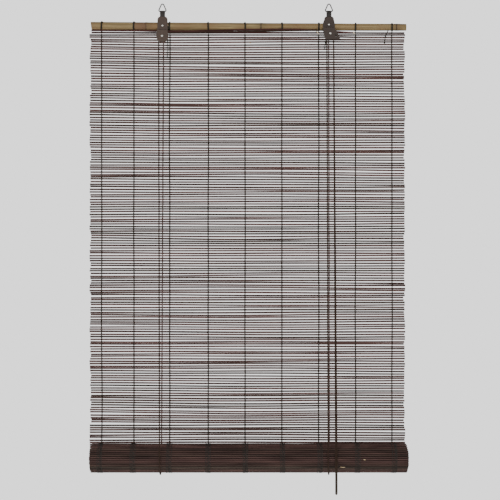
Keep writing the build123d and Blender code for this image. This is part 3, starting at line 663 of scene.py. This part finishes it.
# Each strand's side of the slats, and how far aside it lies
STRANDS = (
    (-1, 0.0), (1, 0.0), (-1, 0.0030), (1, 0.0030), (1, 0.0055), (-1, -0.0035), (1, -0.0065), (-1, 0.0085)
)
THREADED = 46

shell = [], []
for thread, place in enumerate(WARPS):
    for side, aside in STRANDS:
        path = []
        for n in range(THREADED * STRAND_STEPS):
            turns = n / STRAND_STEPS
            angle, radius = spiral(turns * ROLL_PITCH + SLAT_HEIGHT / 2)
            out, across = strand_place(turns, side)
            # Drawn flat against the slats
            out = max(-0.0011, min(out, 0.00125))
            wander = 0.0030 * noise.noise(Vector((thread * 3.0, angle * 0.35, aside * 900)))
            x = place + aside + wander + across + side * 0.0006
            path.append(on_roll(angle, radius, x, out))
        skin(shell, tube_rings(path, 0.0006, 4))
piece("wound_threads", shell, dusty_cotton, "roll")

# Lifted fibres on the roll
# Two small scuffs on its front, where the stained skin was torn and the pale bamboo shows.

shell = [], []
for x, angle, long, wide in ((0.5665, 182, 0.0060, 0.0011), (0.5000, 151, 0.0160, 0.0008)):
    path = []
    for n in range(9):
        place = x + long * n / 8
        path.append(on_roll(math.radians(angle), ROLL_RADIUS, place, 0.0011, 0.0004 * math.sin(n)))
    skin(shell, tube_rings(path, lambda share: wide * math.sqrt(max(0.03, 1 - (2 * share - 1) ** 2)), 6))
piece("roll_scuffs", shell, bare, "roll")

# Ties round the cane
# Each pair of warp threads ends in a loop and a knot round the cane, tight in the waxy skin.

TIE_RADIUS = 0.0012

shell = [], []
for thread, place in enumerate(WARPS):
    middle = cane_middle(place)
    reach = cane_radius(place - CANE_LEFT) + node_swell(place - CANE_LEFT) + 0.0008
    for turn in (-1, 1):
        path = []
        for k in range(40):
            angle = 2 * math.pi * k / 40
            x = place + turn * TIE_RADIUS + 0.0007 * math.sin(angle + thread)
            y, z = middle.y + reach * math.cos(angle), middle.z + reach * math.sin(angle)
            path.append(Vector((x, y, z)))
        skin(shell, tube_rings(path, TIE_RADIUS, 6, closed=True), capped=False)
    # The knot, wound on top of the cane
    knot = []
    for n in range(31):
        a = 2 * math.pi * n / 10
        y, z = middle.y - 0.004 + 0.0013 * math.cos(a), middle.z + reach + 0.0008 * math.sin(a)
        knot.append(Vector((place - 0.0015 + 0.0001 * n, y, z)))
    skin(shell, tube_rings(knot, 0.0007, 6))
    low = Vector((place, MAT_Y - 0.001, MAT_TOP + 0.004))
    high = Vector((place, middle.y - 0.002, middle.z - reach))
    skin(shell, tube_rings([high + (low - high) * s / 4 for s in range(5)], TIE_RADIUS, 6))
piece("cane_ties", shell, cotton, "head")

# Bare splinters
# Two places where a head lath split off and its pale inside shows, and a chip on a slat.

shell = [], []
for start, end, wide in (
    ((0.4360, 0.0018, -0.0735), (0.4455, 0.0030, -0.0855), 0.0013),
    ((0.5430, 0.0028, -0.0790), (0.5470, 0.0030, -0.0835), 0.0016),
    ((0.2475, 0.0108, -0.1085), (0.2525, 0.0106, -0.1090), 0.0010),
):
    a, b = Vector(start), Vector(end)
    path = [a + (b - a) * n / 6 + Vector((0.0006 * math.sin(n * 1.7), 0, 0)) for n in range(7)]
    skin(shell, tube_rings(path, lambda share: wide * (1.05 - 0.8 * share**2), 5))
piece("bare_splinters", shell, bare, "head", smooth=False)

# Hanger rings
# Zinc plated steel wire, 2.2 mm thick and drawn 3.4 mm so that it shows, bent to a triangle with
# round corners. The butted ends are hidden in the strap's curl, which the ring swings in.

RING_BASE_Z = -0.020278
RING_HALF_BASE = 0.0118
RING_APEX_Z = 0.006400
RING_CORNERS = (0.0032, 0.0032, 0.0040)
WIRE_RADIUS = 0.0017


def rounded_path(corners, radii, step=12):
    """A closed line through corners that are rounded by arcs."""
    path = []
    count = len(corners)
    for i, corner in enumerate(corners):
        come = (corner - corners[i - 1]).normalized()
        go = (corners[(i + 1) % count] - corner).normalized()
        turn = come.angle(go)
        inward = (go - come * come.dot(go)).normalized()
        start = corner - come * radii[i] * math.tan(turn / 2)
        for n in range(step + 1):
            angle = turn * n / step
            path.append(
                start + come * radii[i] * math.sin(angle) + inward * radii[i] * (1 - math.cos(angle))
            )
    return path


def speckled_finish(name, scale, detail, colours, roughness, metallic=0.0):
    """A finish with fine specks, which its colour and its roughness follow."""
    finish, tree, shader = new_finish(name)
    spot = add(tree, "TexCoord", "Object")
    specks = add(tree, "TexNoise", "Fac", {"Vector": spot, "Scale": scale, "Detail": detail})
    dark, light = map(linear, colours)
    colour = add(tree, "Mix", 2, {0: specks, 6: dark, 7: light}, data_type="RGBA")
    smooth, rough = roughness
    gloss = add(tree, "MapRange", "Result", {"Value": specks, "To Min": smooth, "To Max": rough})
    feed(tree, shader, {"Base Color": colour, "Roughness": gloss, "Metallic": metallic})
    return finish


# Dulled zinc: dark grey with a soft, broken shine
zinc = speckled_finish("zinc_plated_steel_wire", 400, 3, ("#1f1c1a", "#36322e"), (0.35, 0.6), 0.3)
for side, x in zip(("left", "right"), HANGERS):
    corners = [Vector((x + way * RING_HALF_BASE, 0, RING_BASE_Z)) for way in (-1, 1)]
    path = rounded_path([*corners, Vector((x, 0, RING_APEX_Z))], RING_CORNERS)
    shell = [], []
    skin(shell, tube_rings(path, WIRE_RADIUS, 12, closed=True), capped=False)
    ring = piece(f"{side}_ring_wire", shell, zinc, f"{side}_ring")
    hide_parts(f"{side}_hanger_ring")

# Hanger straps and pulley covers
# Stamped from 1 mm steel, bent, then stove enamelled brown grey in one go. Each strap's end is
# curled over its ring and laid back on the strap, and goes on behind the pulleys as rear cheek.

SHEET = 0.001
NECK = 0.0074
STRAP_Y = 0.00125
LEFT_COVER_Y = -0.00475
RIGHT_COVER_Y = -0.00945
NAILS_Z = (-0.0604, -0.0576)
NAIL_HOLE = 0.0011
AXLE_HOLE = 0.00205
LEFT_AXLE = (-0.0011, -0.0903)
RIGHT_AXLE = (0.4771, -0.0838)
ROLLER_PLACE = (0.4915, -0.0865)
# The way that the roller's pins go in the slots
SLOT_WAY = (0.00296, -0.00634)

enamel, tree, shader = new_finish("stove_enamelled_steel")
spot = add(tree, "TexCoord", "Object")
# Orange peel of the paint, about 1 mm across
peel = add(tree, "TexNoise", "Fac", {"Vector": spot, "Scale": 900, "Detail": 2})
dust = add(tree, "TexNoise", "Fac", {"Vector": spot, "Scale": 90, "Detail": 4, "Roughness": 0.6})
coat = add(tree, "Mix", 2, {0: dust, 6: linear("#30251f"), 7: linear("#46372e")}, data_type="RGBA")
edge = add(tree, "Bevel", "Normal", {"Radius": 0.0006}, samples=4)
flat = add(tree, "NewGeometry", "Normal")
alike = add(tree, "VectorMath", "Value", {0: edge, 1: flat}, operation="DOT_PRODUCT")
rubbed = add(
    tree, "MapRange", "Result", {"Value": alike, "From Min": 0.985, "From Max": 0.9, "To Max": 0.55}
)
coat = add(tree, "Mix", 2, {0: rubbed, 6: coat, 7: linear("#5a4f46")}, data_type="RGBA")
# The right hanger's enamel is darker than the left one's
across = add(tree, "SeparateXYZ", "X", {"Vector": spot})
right_one = add(
    tree, "MapRange", "Result", {"Value": across, "From Min": 0.2, "From Max": 0.3, "To Max": 0.55}
)
coat = add(tree, "Mix", 2, {0: right_one, 6: coat, 7: linear("#211a17")}, data_type="RGBA")
# Above the neck, where the curl is, the coat is darkened nearly black
high = add(tree, "SeparateXYZ", "Z", {"Vector": spot})
curl = add(
    tree, "MapRange", "Result", {"Value": high, "From Min": -0.0352, "From Max": -0.0346, "To Max": 0.8}
)
coat = add(tree, "Mix", 2, {0: curl, 6: coat, 7: linear("#1b1a18")}, data_type="RGBA")
rough = add(tree, "MapRange", "Result", {"Value": dust, "To Min": 0.38, "To Max": 0.6})
bump = add(tree, "Bump", "Normal", {"Strength": 0.12, "Distance": 0.0001, "Height": peel})
feed(tree, shader, {"Base Color": coat, "Roughness": rough, "Normal": bump, "Specular IOR Level": 0.25})


def flat_sheet(shell, outline, holes, front):
    """A flat sheet that faces the room, with an outline and holes in X and Z."""
    points, faces = shell
    loops = [outline, *holes]
    triangles = tessellate_polygon([[Vector((x, z, 0)) for x, z in loop] for loop in loops])
    places = [Vector((x, front, z)) for loop in loops for x, z in loop]
    start, count = len(points), len(places)
    points.extend(places)
    points.extend(p + Vector((0, SHEET, 0)) for p in places)
    for a, b, c in triangles:
        faces.append((start + a, start + b, start + c))
        faces.append((start + count + c, start + count + b, start + count + a))
    first = start
    for loop in loops:
        size = len(loop)
        for k in range(size):
            a, b = first + k, first + (k + 1) % size
            faces.append((a, b, b + count, a + count))
        first += size


def bent_strip(shell, path, left, right):
    """A strip of sheet bent along a path in Y and Z, between two places in X."""
    rings = []
    for i, (y, z) in enumerate(path):
        before, after = path[max(0, i - 1)], path[min(len(path) - 1, i + 1)]
        along = Vector((0, after[0] - before[0], after[1] - before[1])).normalized()
        out = Vector((0, -along.z, along.y)) * SHEET / 2
        corners = (out, left), (out, right), (-out, right), (-out, left)
        rings.append([Vector((0, y, z)) + face + Vector((x, 0, 0)) for face, x in corners])
    skin(shell, rings)


def hole(x, z, radius, way=(0, 0)):
    """A round hole, or a slot when it is drawn out along a way."""
    lean = math.atan2(way[1], way[0])
    loop = []
    for k in range(24):
        a = lean + math.pi / 2 + 2 * math.pi * k / 24
        far = way if k >= 12 else (0, 0)
        loop.append((x + far[0] + radius * math.cos(a), z + far[1] + radius * math.sin(a)))
    return loop


def mirrored(right_side, x):
    """An outline from its right side, top to bottom, in half widths and heights."""
    return [(x + half, z) for half, z in right_side] + [(x - half, z) for half, z in reversed(right_side)]


def shoulder(neck, wide, top, low, count=9):
    """The convex line from a neck out to the full width."""
    line = []
    for n in range(count + 1):
        share = n / count
        out = (1 - (1 - share) ** 2.3) ** (1 / 1.6)
        line.append((neck + (wide - neck) * out, top + (low - top) * share))
    return line


def rounded_foot(wide, top, low, count=9):
    """The rounded lower end of a plate."""
    line = []
    for n in range(count + 1):
        line.append((wide * (1 - (n / count * 0.985) ** 2.8) ** (1 / 2.4), top + (low - top) * n / count))
    return line


def curled_end(shell, x):
    """The strap's end: up behind the ring's base wire, over it, and down on the strap's front."""
    back, near = 0.00175, 0.00075
    path = [(back, -0.0262), (back, RING_BASE_Z)]
    for a in range(1, 13):
        turn = a * math.pi / 12
        path.append((back * math.cos(turn), RING_BASE_Z + back * math.sin(turn)))
    path += [
        (-back, RING_BASE_Z - 0.0012), (-0.0013, RING_BASE_Z - 0.0028), (0.0003, RING_BASE_Z - 0.0052)
    ]
    path += [(near, RING_BASE_Z - 0.0066), (near, RING_BASE_Z - 0.0145)]
    bent_strip(shell, path, x - NECK, x + NECK)


def stamped(name, shell, node):
    """Finishes a stamped piece: enamel, and edges that the drum has rounded."""
    sheet = piece(name, shell, enamel, "head", smooth=False)
    rounding = sheet.modifiers.new("deburred", "BEVEL")
    rounding.width = 0.00022
    rounding.segments = 2
    rounding.limit_method = "ANGLE"
    rounding.angle_limit = math.radians(40)
    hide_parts(node)


# Left strap and cover
slope = [(NECK, -0.0250), *shoulder(NECK, 0.0146, -0.0345, -0.0450)]
slope += [(0.0146, -0.0700), (0.0150, -0.0740), (0.0163, -0.0820)]
strap_outline = mirrored([*slope, *rounded_foot(0.0165, -0.0890, -0.1072)], 0.0)
axle_hole = hole(*LEFT_AXLE, AXLE_HOLE)
shell = [], []
flat_sheet(shell, strap_outline, [hole(0, NAILS_Z[0], NAIL_HOLE), axle_hole], STRAP_Y)
curled_end(shell, 0.0)
stamped("left_strap", shell, "left_hanger_strap")
cover_side = [(0.0150, -0.0742), (0.0163, -0.0820), *rounded_foot(0.0166, -0.0890, -0.1074)]
shell = [], []
flat_sheet(shell, mirrored(cover_side, -0.0005), [axle_hole], LEFT_COVER_Y)
bend = [(-0.00425, -0.0752), (-0.00425, -0.0742), (-0.0040, -0.0735), (-0.0033, -0.0733)]
bend += [(-0.0003, -0.0733), (0.0004, -0.0730), (0.00075, -0.0723), (0.00075, -0.0672)]
bent_strip(shell, bend, -0.0155, 0.0145)
stamped("left_cover", shell, "left_pulley_cover")

# Right strap and cover. The flag's slanted slots hold the lock roller's pins
x = HANGERS[1]
holes = [hole(*RIGHT_AXLE, AXLE_HOLE), hole(*ROLLER_PLACE, 0.00135, SLOT_WAY)]
right_half = [(NECK, -0.0250), *shoulder(NECK, 0.0140, -0.0345, -0.0425), (0.0165, -0.0530)]
left_half = [(NECK, -0.0250), *shoulder(NECK, 0.0132, -0.0345, -0.0425), (0.0171, -0.0530)]
upper = [(x + half, z) for half, z in right_half]
upper_left = [(x - half, z) for half, z in reversed(left_half)]
flag = [(x + 0.0168, -0.0720), (x + 0.0215, -0.0772), (x + 0.0308, -0.0975)]
flag += [(x + 0.0306, -0.0992), (x + 0.0292, -0.1003), (x - 0.0078, -0.1012)]
flag += [(x - 0.0096, -0.1002), (x - 0.0105, -0.0980), (x - 0.0170, -0.0740)]
shell = [], []
flat_sheet(shell, upper + flag + upper_left, [hole(x, NAILS_Z[1], NAIL_HOLE), *holes], STRAP_Y)
curled_end(shell, x)
stamped("right_strap", shell, "right_hanger_strap")
shell = [], []
cover = [(x + 0.0170, -0.0732), *flag[1:], (x - 0.0168, -0.0680), (x + 0.0164, -0.0680)]
flat_sheet(shell, cover, holes, RIGHT_COVER_Y)
bend = [(-0.00895, -0.0690), (-0.00895, -0.0680), (-0.0087, -0.0673), (-0.0080, -0.0671)]
bend += [(-0.0003, -0.0671), (0.0004, -0.0668), (0.00075, -0.0661), (0.00075, -0.0612)]
bent_strip(shell, bend, x - 0.0168, x + 0.0164)
stamped("right_cover", shell, "right_lock_cover")

# Nails and axle rivets
# Bright nickel plated steel. The nails' heads are low domes; the rivets' heads were spun over
# the cheeks, with a small dimple in the middle.


def turned(shell, x, z, profile, sides=32, bored=False):
    """A lathe shape with its axis along Y, or a ring when it is bored. The profile lists distances
    from the front and radii. A radius may depend on the point's number."""
    rings = []
    for y, radius in profile:
        ring = []
        for k in range(sides):
            a = 2 * math.pi * k / sides
            out = radius(k) if callable(radius) else radius
            ring.append(Vector((x + out * math.cos(a), y, z + out * math.sin(a))))
        rings.append(ring)
    skin(shell, [*rings, rings[0]] if bored else rings, capped=not bored)


# Nickel plate: bright and pale, with a blurred reflection
nickel = speckled_finish("nickel_plated_steel", 1200, 3, ("#a9a59e", "#cbc8c2"), (0.22, 0.45), 1.0)
quarter = [a * math.pi / 16 for a in range(9)]
dome = [(STRAP_Y - 0.0013 * math.cos(a), 0.0028 * math.sin(a) + 0.00005) for a in quarter]
for side, x, z in zip(("left", "right"), HANGERS, NAILS_Z):
    shell = [], []
    shank = [(STRAP_Y, NAIL_HOLE), (0.01525, NAIL_HOLE), (0.01825, 0.0002)]
    turned(shell, x, z, dome + shank)
    nail = piece(f"{side}_nail_bright", shell, nickel, "head")
    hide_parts(f"{side}_nail")
# How far the rivet's head stands out, from its dimple to its rim, and the radii there
HEAD = (
    (0.0009, 0.0001), (0.0010, 0.0008), (0.00125, 0.0012), (0.0012, 0.0020), (0.0007, 0.0029), (0, 0.0032)
)
STRAP_BACK_Y = 0.00225
for side, (x, z), front in (("left", LEFT_AXLE, LEFT_COVER_Y), ("right", RIGHT_AXLE, RIGHT_COVER_Y)):
    shell = [], []
    head = [(front - out, radius) for out, radius in HEAD]
    back = [(STRAP_BACK_Y + (front - y), radius) for y, radius in reversed(head)]
    turned(shell, x, z, [*head, (front, 0.0020), (STRAP_BACK_Y, 0.0020), *back])
    rivet = piece(f"{side}_rivet_bright", shell, nickel, "head")
    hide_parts(f"{side}_axle_rivet")

# Pulleys and lock roller
# The pulleys are dark nylon with a round groove for the cord. The roller is a short steel
# cylinder, knurled so that it grips the cords, with a thin pin at each end.

PITCH_RADIUS = 0.0097
# The cords' planes: the rear one runs past both brackets, the front one is the right cord's
REAR_LANE = -0.00125
FRONT_LANE = -0.00595

# Moulded nylon, dull and rubbed by the cord
nylon = speckled_finish("dark_nylon", 250, 4, ("#26221f", "#37312c"), (0.35, 0.6))
profile = [(-0.0022, 0.00206), (-0.0022, 0.0042), (-0.0016, 0.0048), (-0.0016, 0.0078)]
profile += [(-0.0022, 0.0084), (-0.0022, 0.0101), (-0.0020, 0.0103)]
groove = []
for a in range(-7, 8):
    turn = a * math.pi / 16
    groove.append((0.0017 * math.sin(turn), PITCH_RADIUS - 0.0017 * math.cos(turn)))
profile += groove + [(-y, radius) for y, radius in reversed(profile)]
for name, body, (x, z), lane in (
    ("left_pulley", "left_wheel", LEFT_AXLE, REAR_LANE),
    ("right_rear_pulley", "right_rear_wheel", RIGHT_AXLE, REAR_LANE),
    ("right_front_pulley", "right_front_wheel", RIGHT_AXLE, FRONT_LANE),
):
    shell = [], []
    turned(shell, x, z, [(lane + y, radius) for y, radius in profile], 48, bored=True)
    wheel = piece(f"{name}_wheel", shell, nylon, body)
    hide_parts(name)


def knurled(k):
    """Radius of the roller's 24 teeth."""
    return 0.0029 - 0.00025 * (k % 2)


profile = [(-0.01025, 0.0011), (-0.01005, 0.0012), (-0.0082, 0.0012), (-0.0082, 0.0027)]
profile += [(-0.0079, knurled), (0.0007, knurled), (0.0010, 0.0027)]
profile += [(0.0010, 0.0012), (0.00285, 0.0012), (0.00305, 0.0011)]
shell = [], []
turned(shell, *ROLLER_PLACE, profile, 48)
# Blackened and oiled steel: nearly black, with a dull shine
blackened = speckled_finish("blackened_steel", 500, 3, ("#211e1b", "#38332e"), (0.35, 0.55), 0.6)
roller = piece("lock_roller_knurled", shell, blackened, "roller", smooth=False)
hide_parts("lock_roller")

# Lift cords
# Brown braided polyester, 2.8 mm but drawn 3.6. The left one runs over the left pulley and the
# rear right one, the right one over the front right one. Both go under the roll and up behind.

CORD_RADIUS = 0.0018
CORD_FRONT_Y = -0.07455
CORD_BACK_Y = 0.01625
LEFT_TOP_Z = -0.0963
RIGHT_TOP_Z = -0.0898
# The lower edge of the lock, where the pull cords begin
LOCK_FOOT_Z = -0.1038

braid, tree, shader = new_finish("braided_polyester_cord")
spot = add(tree, "TexCoord", "Object")
# Sixteen plaited yarns, about 1.1 mm long in the braid, drawn 3 mm long so that they show
plaits = {"Scale": 210, "Distortion": 1.5, "Detail": 1}
lay_right = add(tree, "TexWave", "Fac", {"Vector": spot, **plaits}, bands_direction="DIAGONAL")
turned_about = add(tree, "Mapping", "Vector", {"Vector": spot, "Scale": (-1, 1, 1)})
lay_left = add(tree, "TexWave", "Fac", {"Vector": turned_about, **plaits}, bands_direction="DIAGONAL")
yarns = add(tree, "Math", 0, {0: lay_right, 1: lay_left}, operation="MULTIPLY")
soil = add(tree, "TexNoise", "Fac", {"Vector": spot, "Scale": 20, "Detail": 3})
dyed = add(tree, "Mix", 2, {0: yarns, 6: linear("#1f1612"), 7: linear("#3b2c24")}, data_type="RGBA")
dyed = add(tree, "Mix", 2, {0: soil, 6: dyed, 7: linear("#352921")}, data_type="RGBA")
low = add(tree, "SeparateXYZ", "Z", {"Vector": spot})
# The hanging end is faded grey by handling
handled = add(
    tree, "MapRange", "Result", {"Value": low, "From Min": -1.30, "From Max": -1.37, "To Max": 0.6}
)
dyed = add(tree, "Mix", 2, {0: handled, 6: dyed, 7: linear("#3d382f")}, data_type="RGBA")
bump = add(tree, "Bump", "Normal", {"Strength": 0.5, "Distance": 0.0003, "Height": yarns})
feed(tree, shader, {"Base Color": dyed, "Normal": bump, "Roughness": 0.85, "Specular IOR Level": 0.1})


def lay_cord(name, path, body, node):
    """A braided cord along a path, standing for its CAD node."""
    shell = [], []
    skin(shell, tube_rings(path, CORD_RADIUS, 10))
    cord = piece(name, shell, braid, body)
    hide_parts(node)
    return cord


def straight(a, b, count=40):
    """A hanging stretch, not quite straight."""
    a, b = Vector(a), Vector(b)
    path = []
    for n in range(count + 1):
        sway = 0.0006 * math.sin(math.pi * n / count) * noise.noise(Vector((a.x * 9, n * 0.35, 0)))
        path.append(a + (b - a) * n / count + Vector((sway, 0, 0)))
    return path


def arc(centre, start, turn, radius, count=16):
    """Part of a circle in X and Z round a point, from an angle through a turn, in degrees."""
    path = []
    for n in range(count + 1):
        angle = math.radians(start + turn * n / count)
        across, up = radius * math.cos(angle), radius * math.sin(angle)
        path.append(Vector((centre[0] + across, centre[1], centre[2] + up)))
    return path


middle = (CORD_FRONT_Y + CORD_BACK_Y) / 2
reach = (CORD_BACK_Y - CORD_FRONT_Y) / 2
for side, front_x, back_x in (("left", -0.0040, -0.0036), ("right", 0.4676, 0.4756)):
    path = []
    for n in range(33):
        angle = math.pi * n / 32
        across = front_x + (back_x - front_x) * (1 - math.cos(angle)) / 2
        path.append(Vector((across, middle - reach * math.cos(angle), ROLL_Z - reach * math.sin(angle))))
    lay_cord(f"{side}_sling", path, "sling", f"{side}_sling_cord")
for name, top, low in (
    ("left_front", (-0.0108, REAR_LANE, LEFT_TOP_Z), (-0.0040, CORD_FRONT_Y, ROLL_Z)),
    ("right_front", (0.4674, FRONT_LANE, RIGHT_TOP_Z), (0.4676, CORD_FRONT_Y, ROLL_Z)),
    ("left_back", (0.0014, 0.0304, -0.0661), (-0.0036, CORD_BACK_Y, ROLL_Z)),
    ("right_back", (0.4742, 0.0274, -0.0681), (0.4756, CORD_BACK_Y, ROLL_Z)),
):
    cord = lay_cord(name, straight(top, low), "head", f"{name}_cord")
    gather(cord)
(left, left_z), (right, right_z) = LEFT_AXLE, RIGHT_AXLE
lean = math.degrees(math.atan2(right_z - left_z, right - left))
path = [Vector((left - PITCH_RADIUS, REAR_LANE, LEFT_TOP_Z))]
path += arc((left, REAR_LANE, left_z), 180, lean - 90, PITCH_RADIUS)
path += arc((right, REAR_LANE, right_z), 90 + lean, -90 - lean, PITCH_RADIUS)
path.append(Vector((right + PITCH_RADIUS, REAR_LANE, LOCK_FOOT_Z)))
lay_cord("transfer_cord_braided", path, "head", "transfer_cord")
path = [Vector((right - PITCH_RADIUS, FRONT_LANE, RIGHT_TOP_Z))]
path += arc((right, FRONT_LANE, right_z), 180, -180, PITCH_RADIUS, 24)
path.append(Vector((right + PITCH_RADIUS, FRONT_LANE, LOCK_FOOT_Z)))
lay_cord("lock_cord_braided", path, "head", "lock_cord")

# Cord anchors
# At the back of the cane a wire staple holds each lift cord's end, which is wound round the
# staple's bar and knotted. The photograph doesn't show them.

bend = 0.0016
quarter = [math.pi / 2 * n / 6 for n in range(7)]
# Each lift cord's place, and how far behind the cane's middle its staple stands
for side, x, behind in (("left", 0.0014, 0.0120), ("right", 0.4742, 0.0105)):
    middle = cane_middle(x)
    back, z = middle.y + behind, middle.z
    path = [Vector((x - 0.005, back - 0.007, z))]
    for a in quarter:
        path.append(Vector((x - 0.005 + bend * (1 - math.cos(a)), back + 0.0024 + bend * math.sin(a), z)))
    for a in quarter:
        path.append(Vector((x + 0.0034 + bend * math.sin(a), back + 0.0024 + bend * math.cos(a), z)))
    path.append(Vector((x + 0.005, back - 0.007, z)))
    shell = [], []
    skin(shell, tube_rings(path, 0.0008, 10))
    staple = piece(f"{side}_staple_wire", shell, zinc, "head")
    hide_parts(f"{side}_cord_staple")
    path = []
    for n in range(61):
        a = 2 * math.pi * n / 20
        y = back + 0.004 + 0.0020 * math.cos(a)
        path.append(Vector((x - 0.0019 + 0.0038 * n / 60, y, z + 0.0020 * math.sin(a))))
    shell = [], []
    skin(shell, tube_rings(path, 0.00128, 8))
    knot = piece(f"{side}_hitch", shell, braid, "head")
    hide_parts(f"{side}_cord_knot")

# Pull cords
# The two cords' free ends leave the lock together, lie over the front of the roll and are
# knotted into one another below it. Each hangs free.

LOCK_EXIT_X = 0.4868


def flowing_line(name, route):
    """Points of a smooth line that has the route as its control points."""
    curve = bpy.data.curves.new(name, "CURVE")
    curve.dimensions = "3D"
    curve.resolution_u = 40
    spline = curve.splines.new("NURBS")
    spline.points.add(len(route) - 1)
    for point, place in zip(spline.points, route):
        point.co = (*place, 1.0)
    spline.order_u = 3
    spline.use_endpoint_u = True
    guide = bpy.data.objects.new(name, curve)
    bpy.context.scene.collection.objects.link(guide)
    bpy.context.view_layer.update()
    line = bpy.data.meshes.new_from_object(guide)
    places = [v.co.copy() for v in line.vertices]
    bpy.data.objects.remove(guide)
    bpy.data.curves.remove(curve)
    bpy.data.meshes.remove(line)
    return places


# The knot: both cords laid round one another and drawn tight to a rounded tip
knot_x, knot_top, knot_foot = 0.4904, -1.3712, -1.3840
shell = [], []
path = []
for n in range(97):
    share = n / 96
    a = 2 * math.pi * 4 * share
    reach = 0.0024 * (1 - 0.55 * max(0.0, share - 0.8) * 5)
    z = knot_top - 0.0016 - 0.0096 * share
    path.append(Vector((knot_x + reach * math.cos(a), CORD_FRONT_Y + reach * math.sin(a), z)))
skin(shell, tube_rings(path, 0.0014, 8))
drop = knot_top - knot_foot - 0.0004
path = [Vector((knot_x, CORD_FRONT_Y, knot_top - 0.0002 - drop * n / 10)) for n in range(11)]
skin(
    shell,
    tube_rings(path, lambda share: 0.0022 * math.sqrt(max(0.02, 1 - (2 * share - 1) ** 4)) + 0.0003, 12),
)
end_knot = piece("pull_end_knot", shell, braid, "head")
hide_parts("pull_knot")

# Both run straight out of the lock, slant to the roll's front and hang down to the knot
for name, lane, x in (("rear", REAR_LANE, 0.4887), ("front", FRONT_LANE, 0.4922)):
    route = (
        (LOCK_EXIT_X, lane, LOCK_FOOT_Z),
        (LOCK_EXIT_X, lane, -0.1198),
        (x, CORD_FRONT_Y, -1.2811),
        (x, CORD_FRONT_Y, -1.3775),
    )
    line = flowing_line(f"{name}_route", route)
    above = [p for p in line if p.z > ROLL_Z + 0.001]
    below = [p for p in line if p.z < ROLL_Z - 0.001]
    a, b = above[-1], below[0]
    joint = a + (b - a) * (a.z - ROLL_Z) / (a.z - b.z)
    for part, path in (("upper", [*above, joint]), ("lower", [joint, *below])):
        upper = part == "upper"
        strand = lay_cord(
            f"pull_{name}_{part}", path, "head" if upper else None, f"pull_cord_{name}_{part}"
        )
        if not upper:
            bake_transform(strand)
        if upper:
            gather(strand)

# Loose thread ends
# Where a warp thread was joined or tied off, its end hangs down, with a knot at its foot and one
# half way down.

shell = [], []
for line in (
    (
        (0.0158, 0.0010, -0.0620),
        (0.0150, 0.0085, -0.0800),
        (0.0140, 0.0105, -0.1060),
        (0.0150, 0.0102, -0.1250),
        (0.0125, 0.0100, -0.1490),
    ),
    ((0.4660, 0.0095, -0.0930), (0.4645, 0.0100, -0.1080), (0.4614, 0.0100, -0.1260)),
    ((0.6430, 0.0020, -0.0720), (0.6350, 0.0080, -0.0890), (0.6324, 0.0095, -0.1080)),
):
    route = [Vector(p) for p in line]
    path = []
    for a, b in zip(route, route[1:]):
        path += [a + (b - a) * n / 5 + Vector((0.0004 * math.sin(n * 1.9), 0, 0)) for n in range(5)]
    path.append(route[-1])
    skin(shell, tube_rings(path, TIE_RADIUS, 6))
    for place in (route[-1], route[len(route) // 2]):
        knot = []
        for n in range(19):
            a = n * 0.7
            knot.append(
                place + Vector((0.0011 * math.cos(a), 0.0011 * math.sin(a), 0.0016 - 0.0032 * n / 18))
            )
        skin(shell, tube_rings(knot, TIE_RADIUS, 6))
piece("loose_thread_ends", shell, cotton, "head")

# The photographed room
# A plain pale floor well below the blind and a plain bright surround, with soft light from the
# front. Nothing stands behind the blind, so it can be seen from all sides.

FLOOR_Z = -2.1
FLOOR_RADIUS = 3.9
FLOOR_SIDES = 96

paper, tree, shader = new_finish("studio_paper")
feed(tree, shader, {"Base Color": linear("#fbfbfb"), "Roughness": 1.0})
feed(tree, shader, {"Emission Color": linear("#ffffff"), "Emission Strength": 0.35})
# Seen from below, the floor lets the view through
beneath = add(tree, "NewGeometry", "Backfacing")
through = add(tree, "BsdfTransparent", 0)
sides = add(tree, "MixShader", 0, {0: beneath, 1: shader.outputs[0], 2: through})
feed(tree, tree.nodes["Material Output"], {"Surface": sides})
points = []
for k in range(FLOOR_SIDES):
    a = 2 * math.pi * k / FLOOR_SIDES
    points.append((0.245 + FLOOR_RADIUS * math.cos(a), FLOOR_RADIUS * math.sin(a), FLOOR_Z))
mesh = bpy.data.meshes.new("studio_floor")
mesh.from_pydata(points, [], [tuple(range(FLOOR_SIDES))])
mesh.materials.append(paper)
floor = bpy.data.objects.new("studio_floor", mesh)
bpy.context.scene.collection.objects.link(floor)

world = bpy.data.worlds.new("room_light")
bpy.context.scene.world = world
world.use_nodes = True
# Bright at eye level and dimmer overhead, like a room lit from its sides
room = world.node_tree
direction = add(room, "TexCoord", "Generated")
height = add(room, "SeparateXYZ", "Z", {"Vector": direction})
level = add(
    room,
    "MapRange",
    "Result",
    {"Value": height, "From Min": 0.2, "From Max": 0.6, "To Min": 1.65, "To Max": 0.25},
    interpolation_type="SMOOTHSTEP",
)
feed(room, room.nodes["Background"], {"Strength": level, "Color": linear("#ffffff")})


def soft_sun(name, place, strength, spread):
    """A wide sun that shines from a place towards the middle of the blind."""
    lamp = bpy.data.lights.new(name, "SUN")
    lamp.energy = strength
    lamp.angle = math.radians(spread)
    obj = bpy.data.objects.new(name, lamp)
    obj.location = place
    obj.rotation_euler = (Vector((0.25, 0, -0.7)) - Vector(place)).to_track_quat("-Z", "Y").to_euler()
    bpy.context.scene.collection.objects.link(obj)


soft_sun("key_left", (-1.8, -3.2, 1.4), 1.1, 30)
soft_sun("fill_right", (2.6, -3.4, 0.4), 0.5, 50)

# Camera, level and square to the blind, 4.2 m in front of it
lens = bpy.data.cameras.new("photo_view")
lens.sensor_width = 36
lens.lens = 106.3
view = bpy.data.objects.new("photo_view", lens)
view.location = (0.249, -4.2, -0.699)
view.rotation_euler = (math.radians(90), 0, 0)
bpy.context.scene.collection.objects.link(view)
bpy.context.scene.camera = view
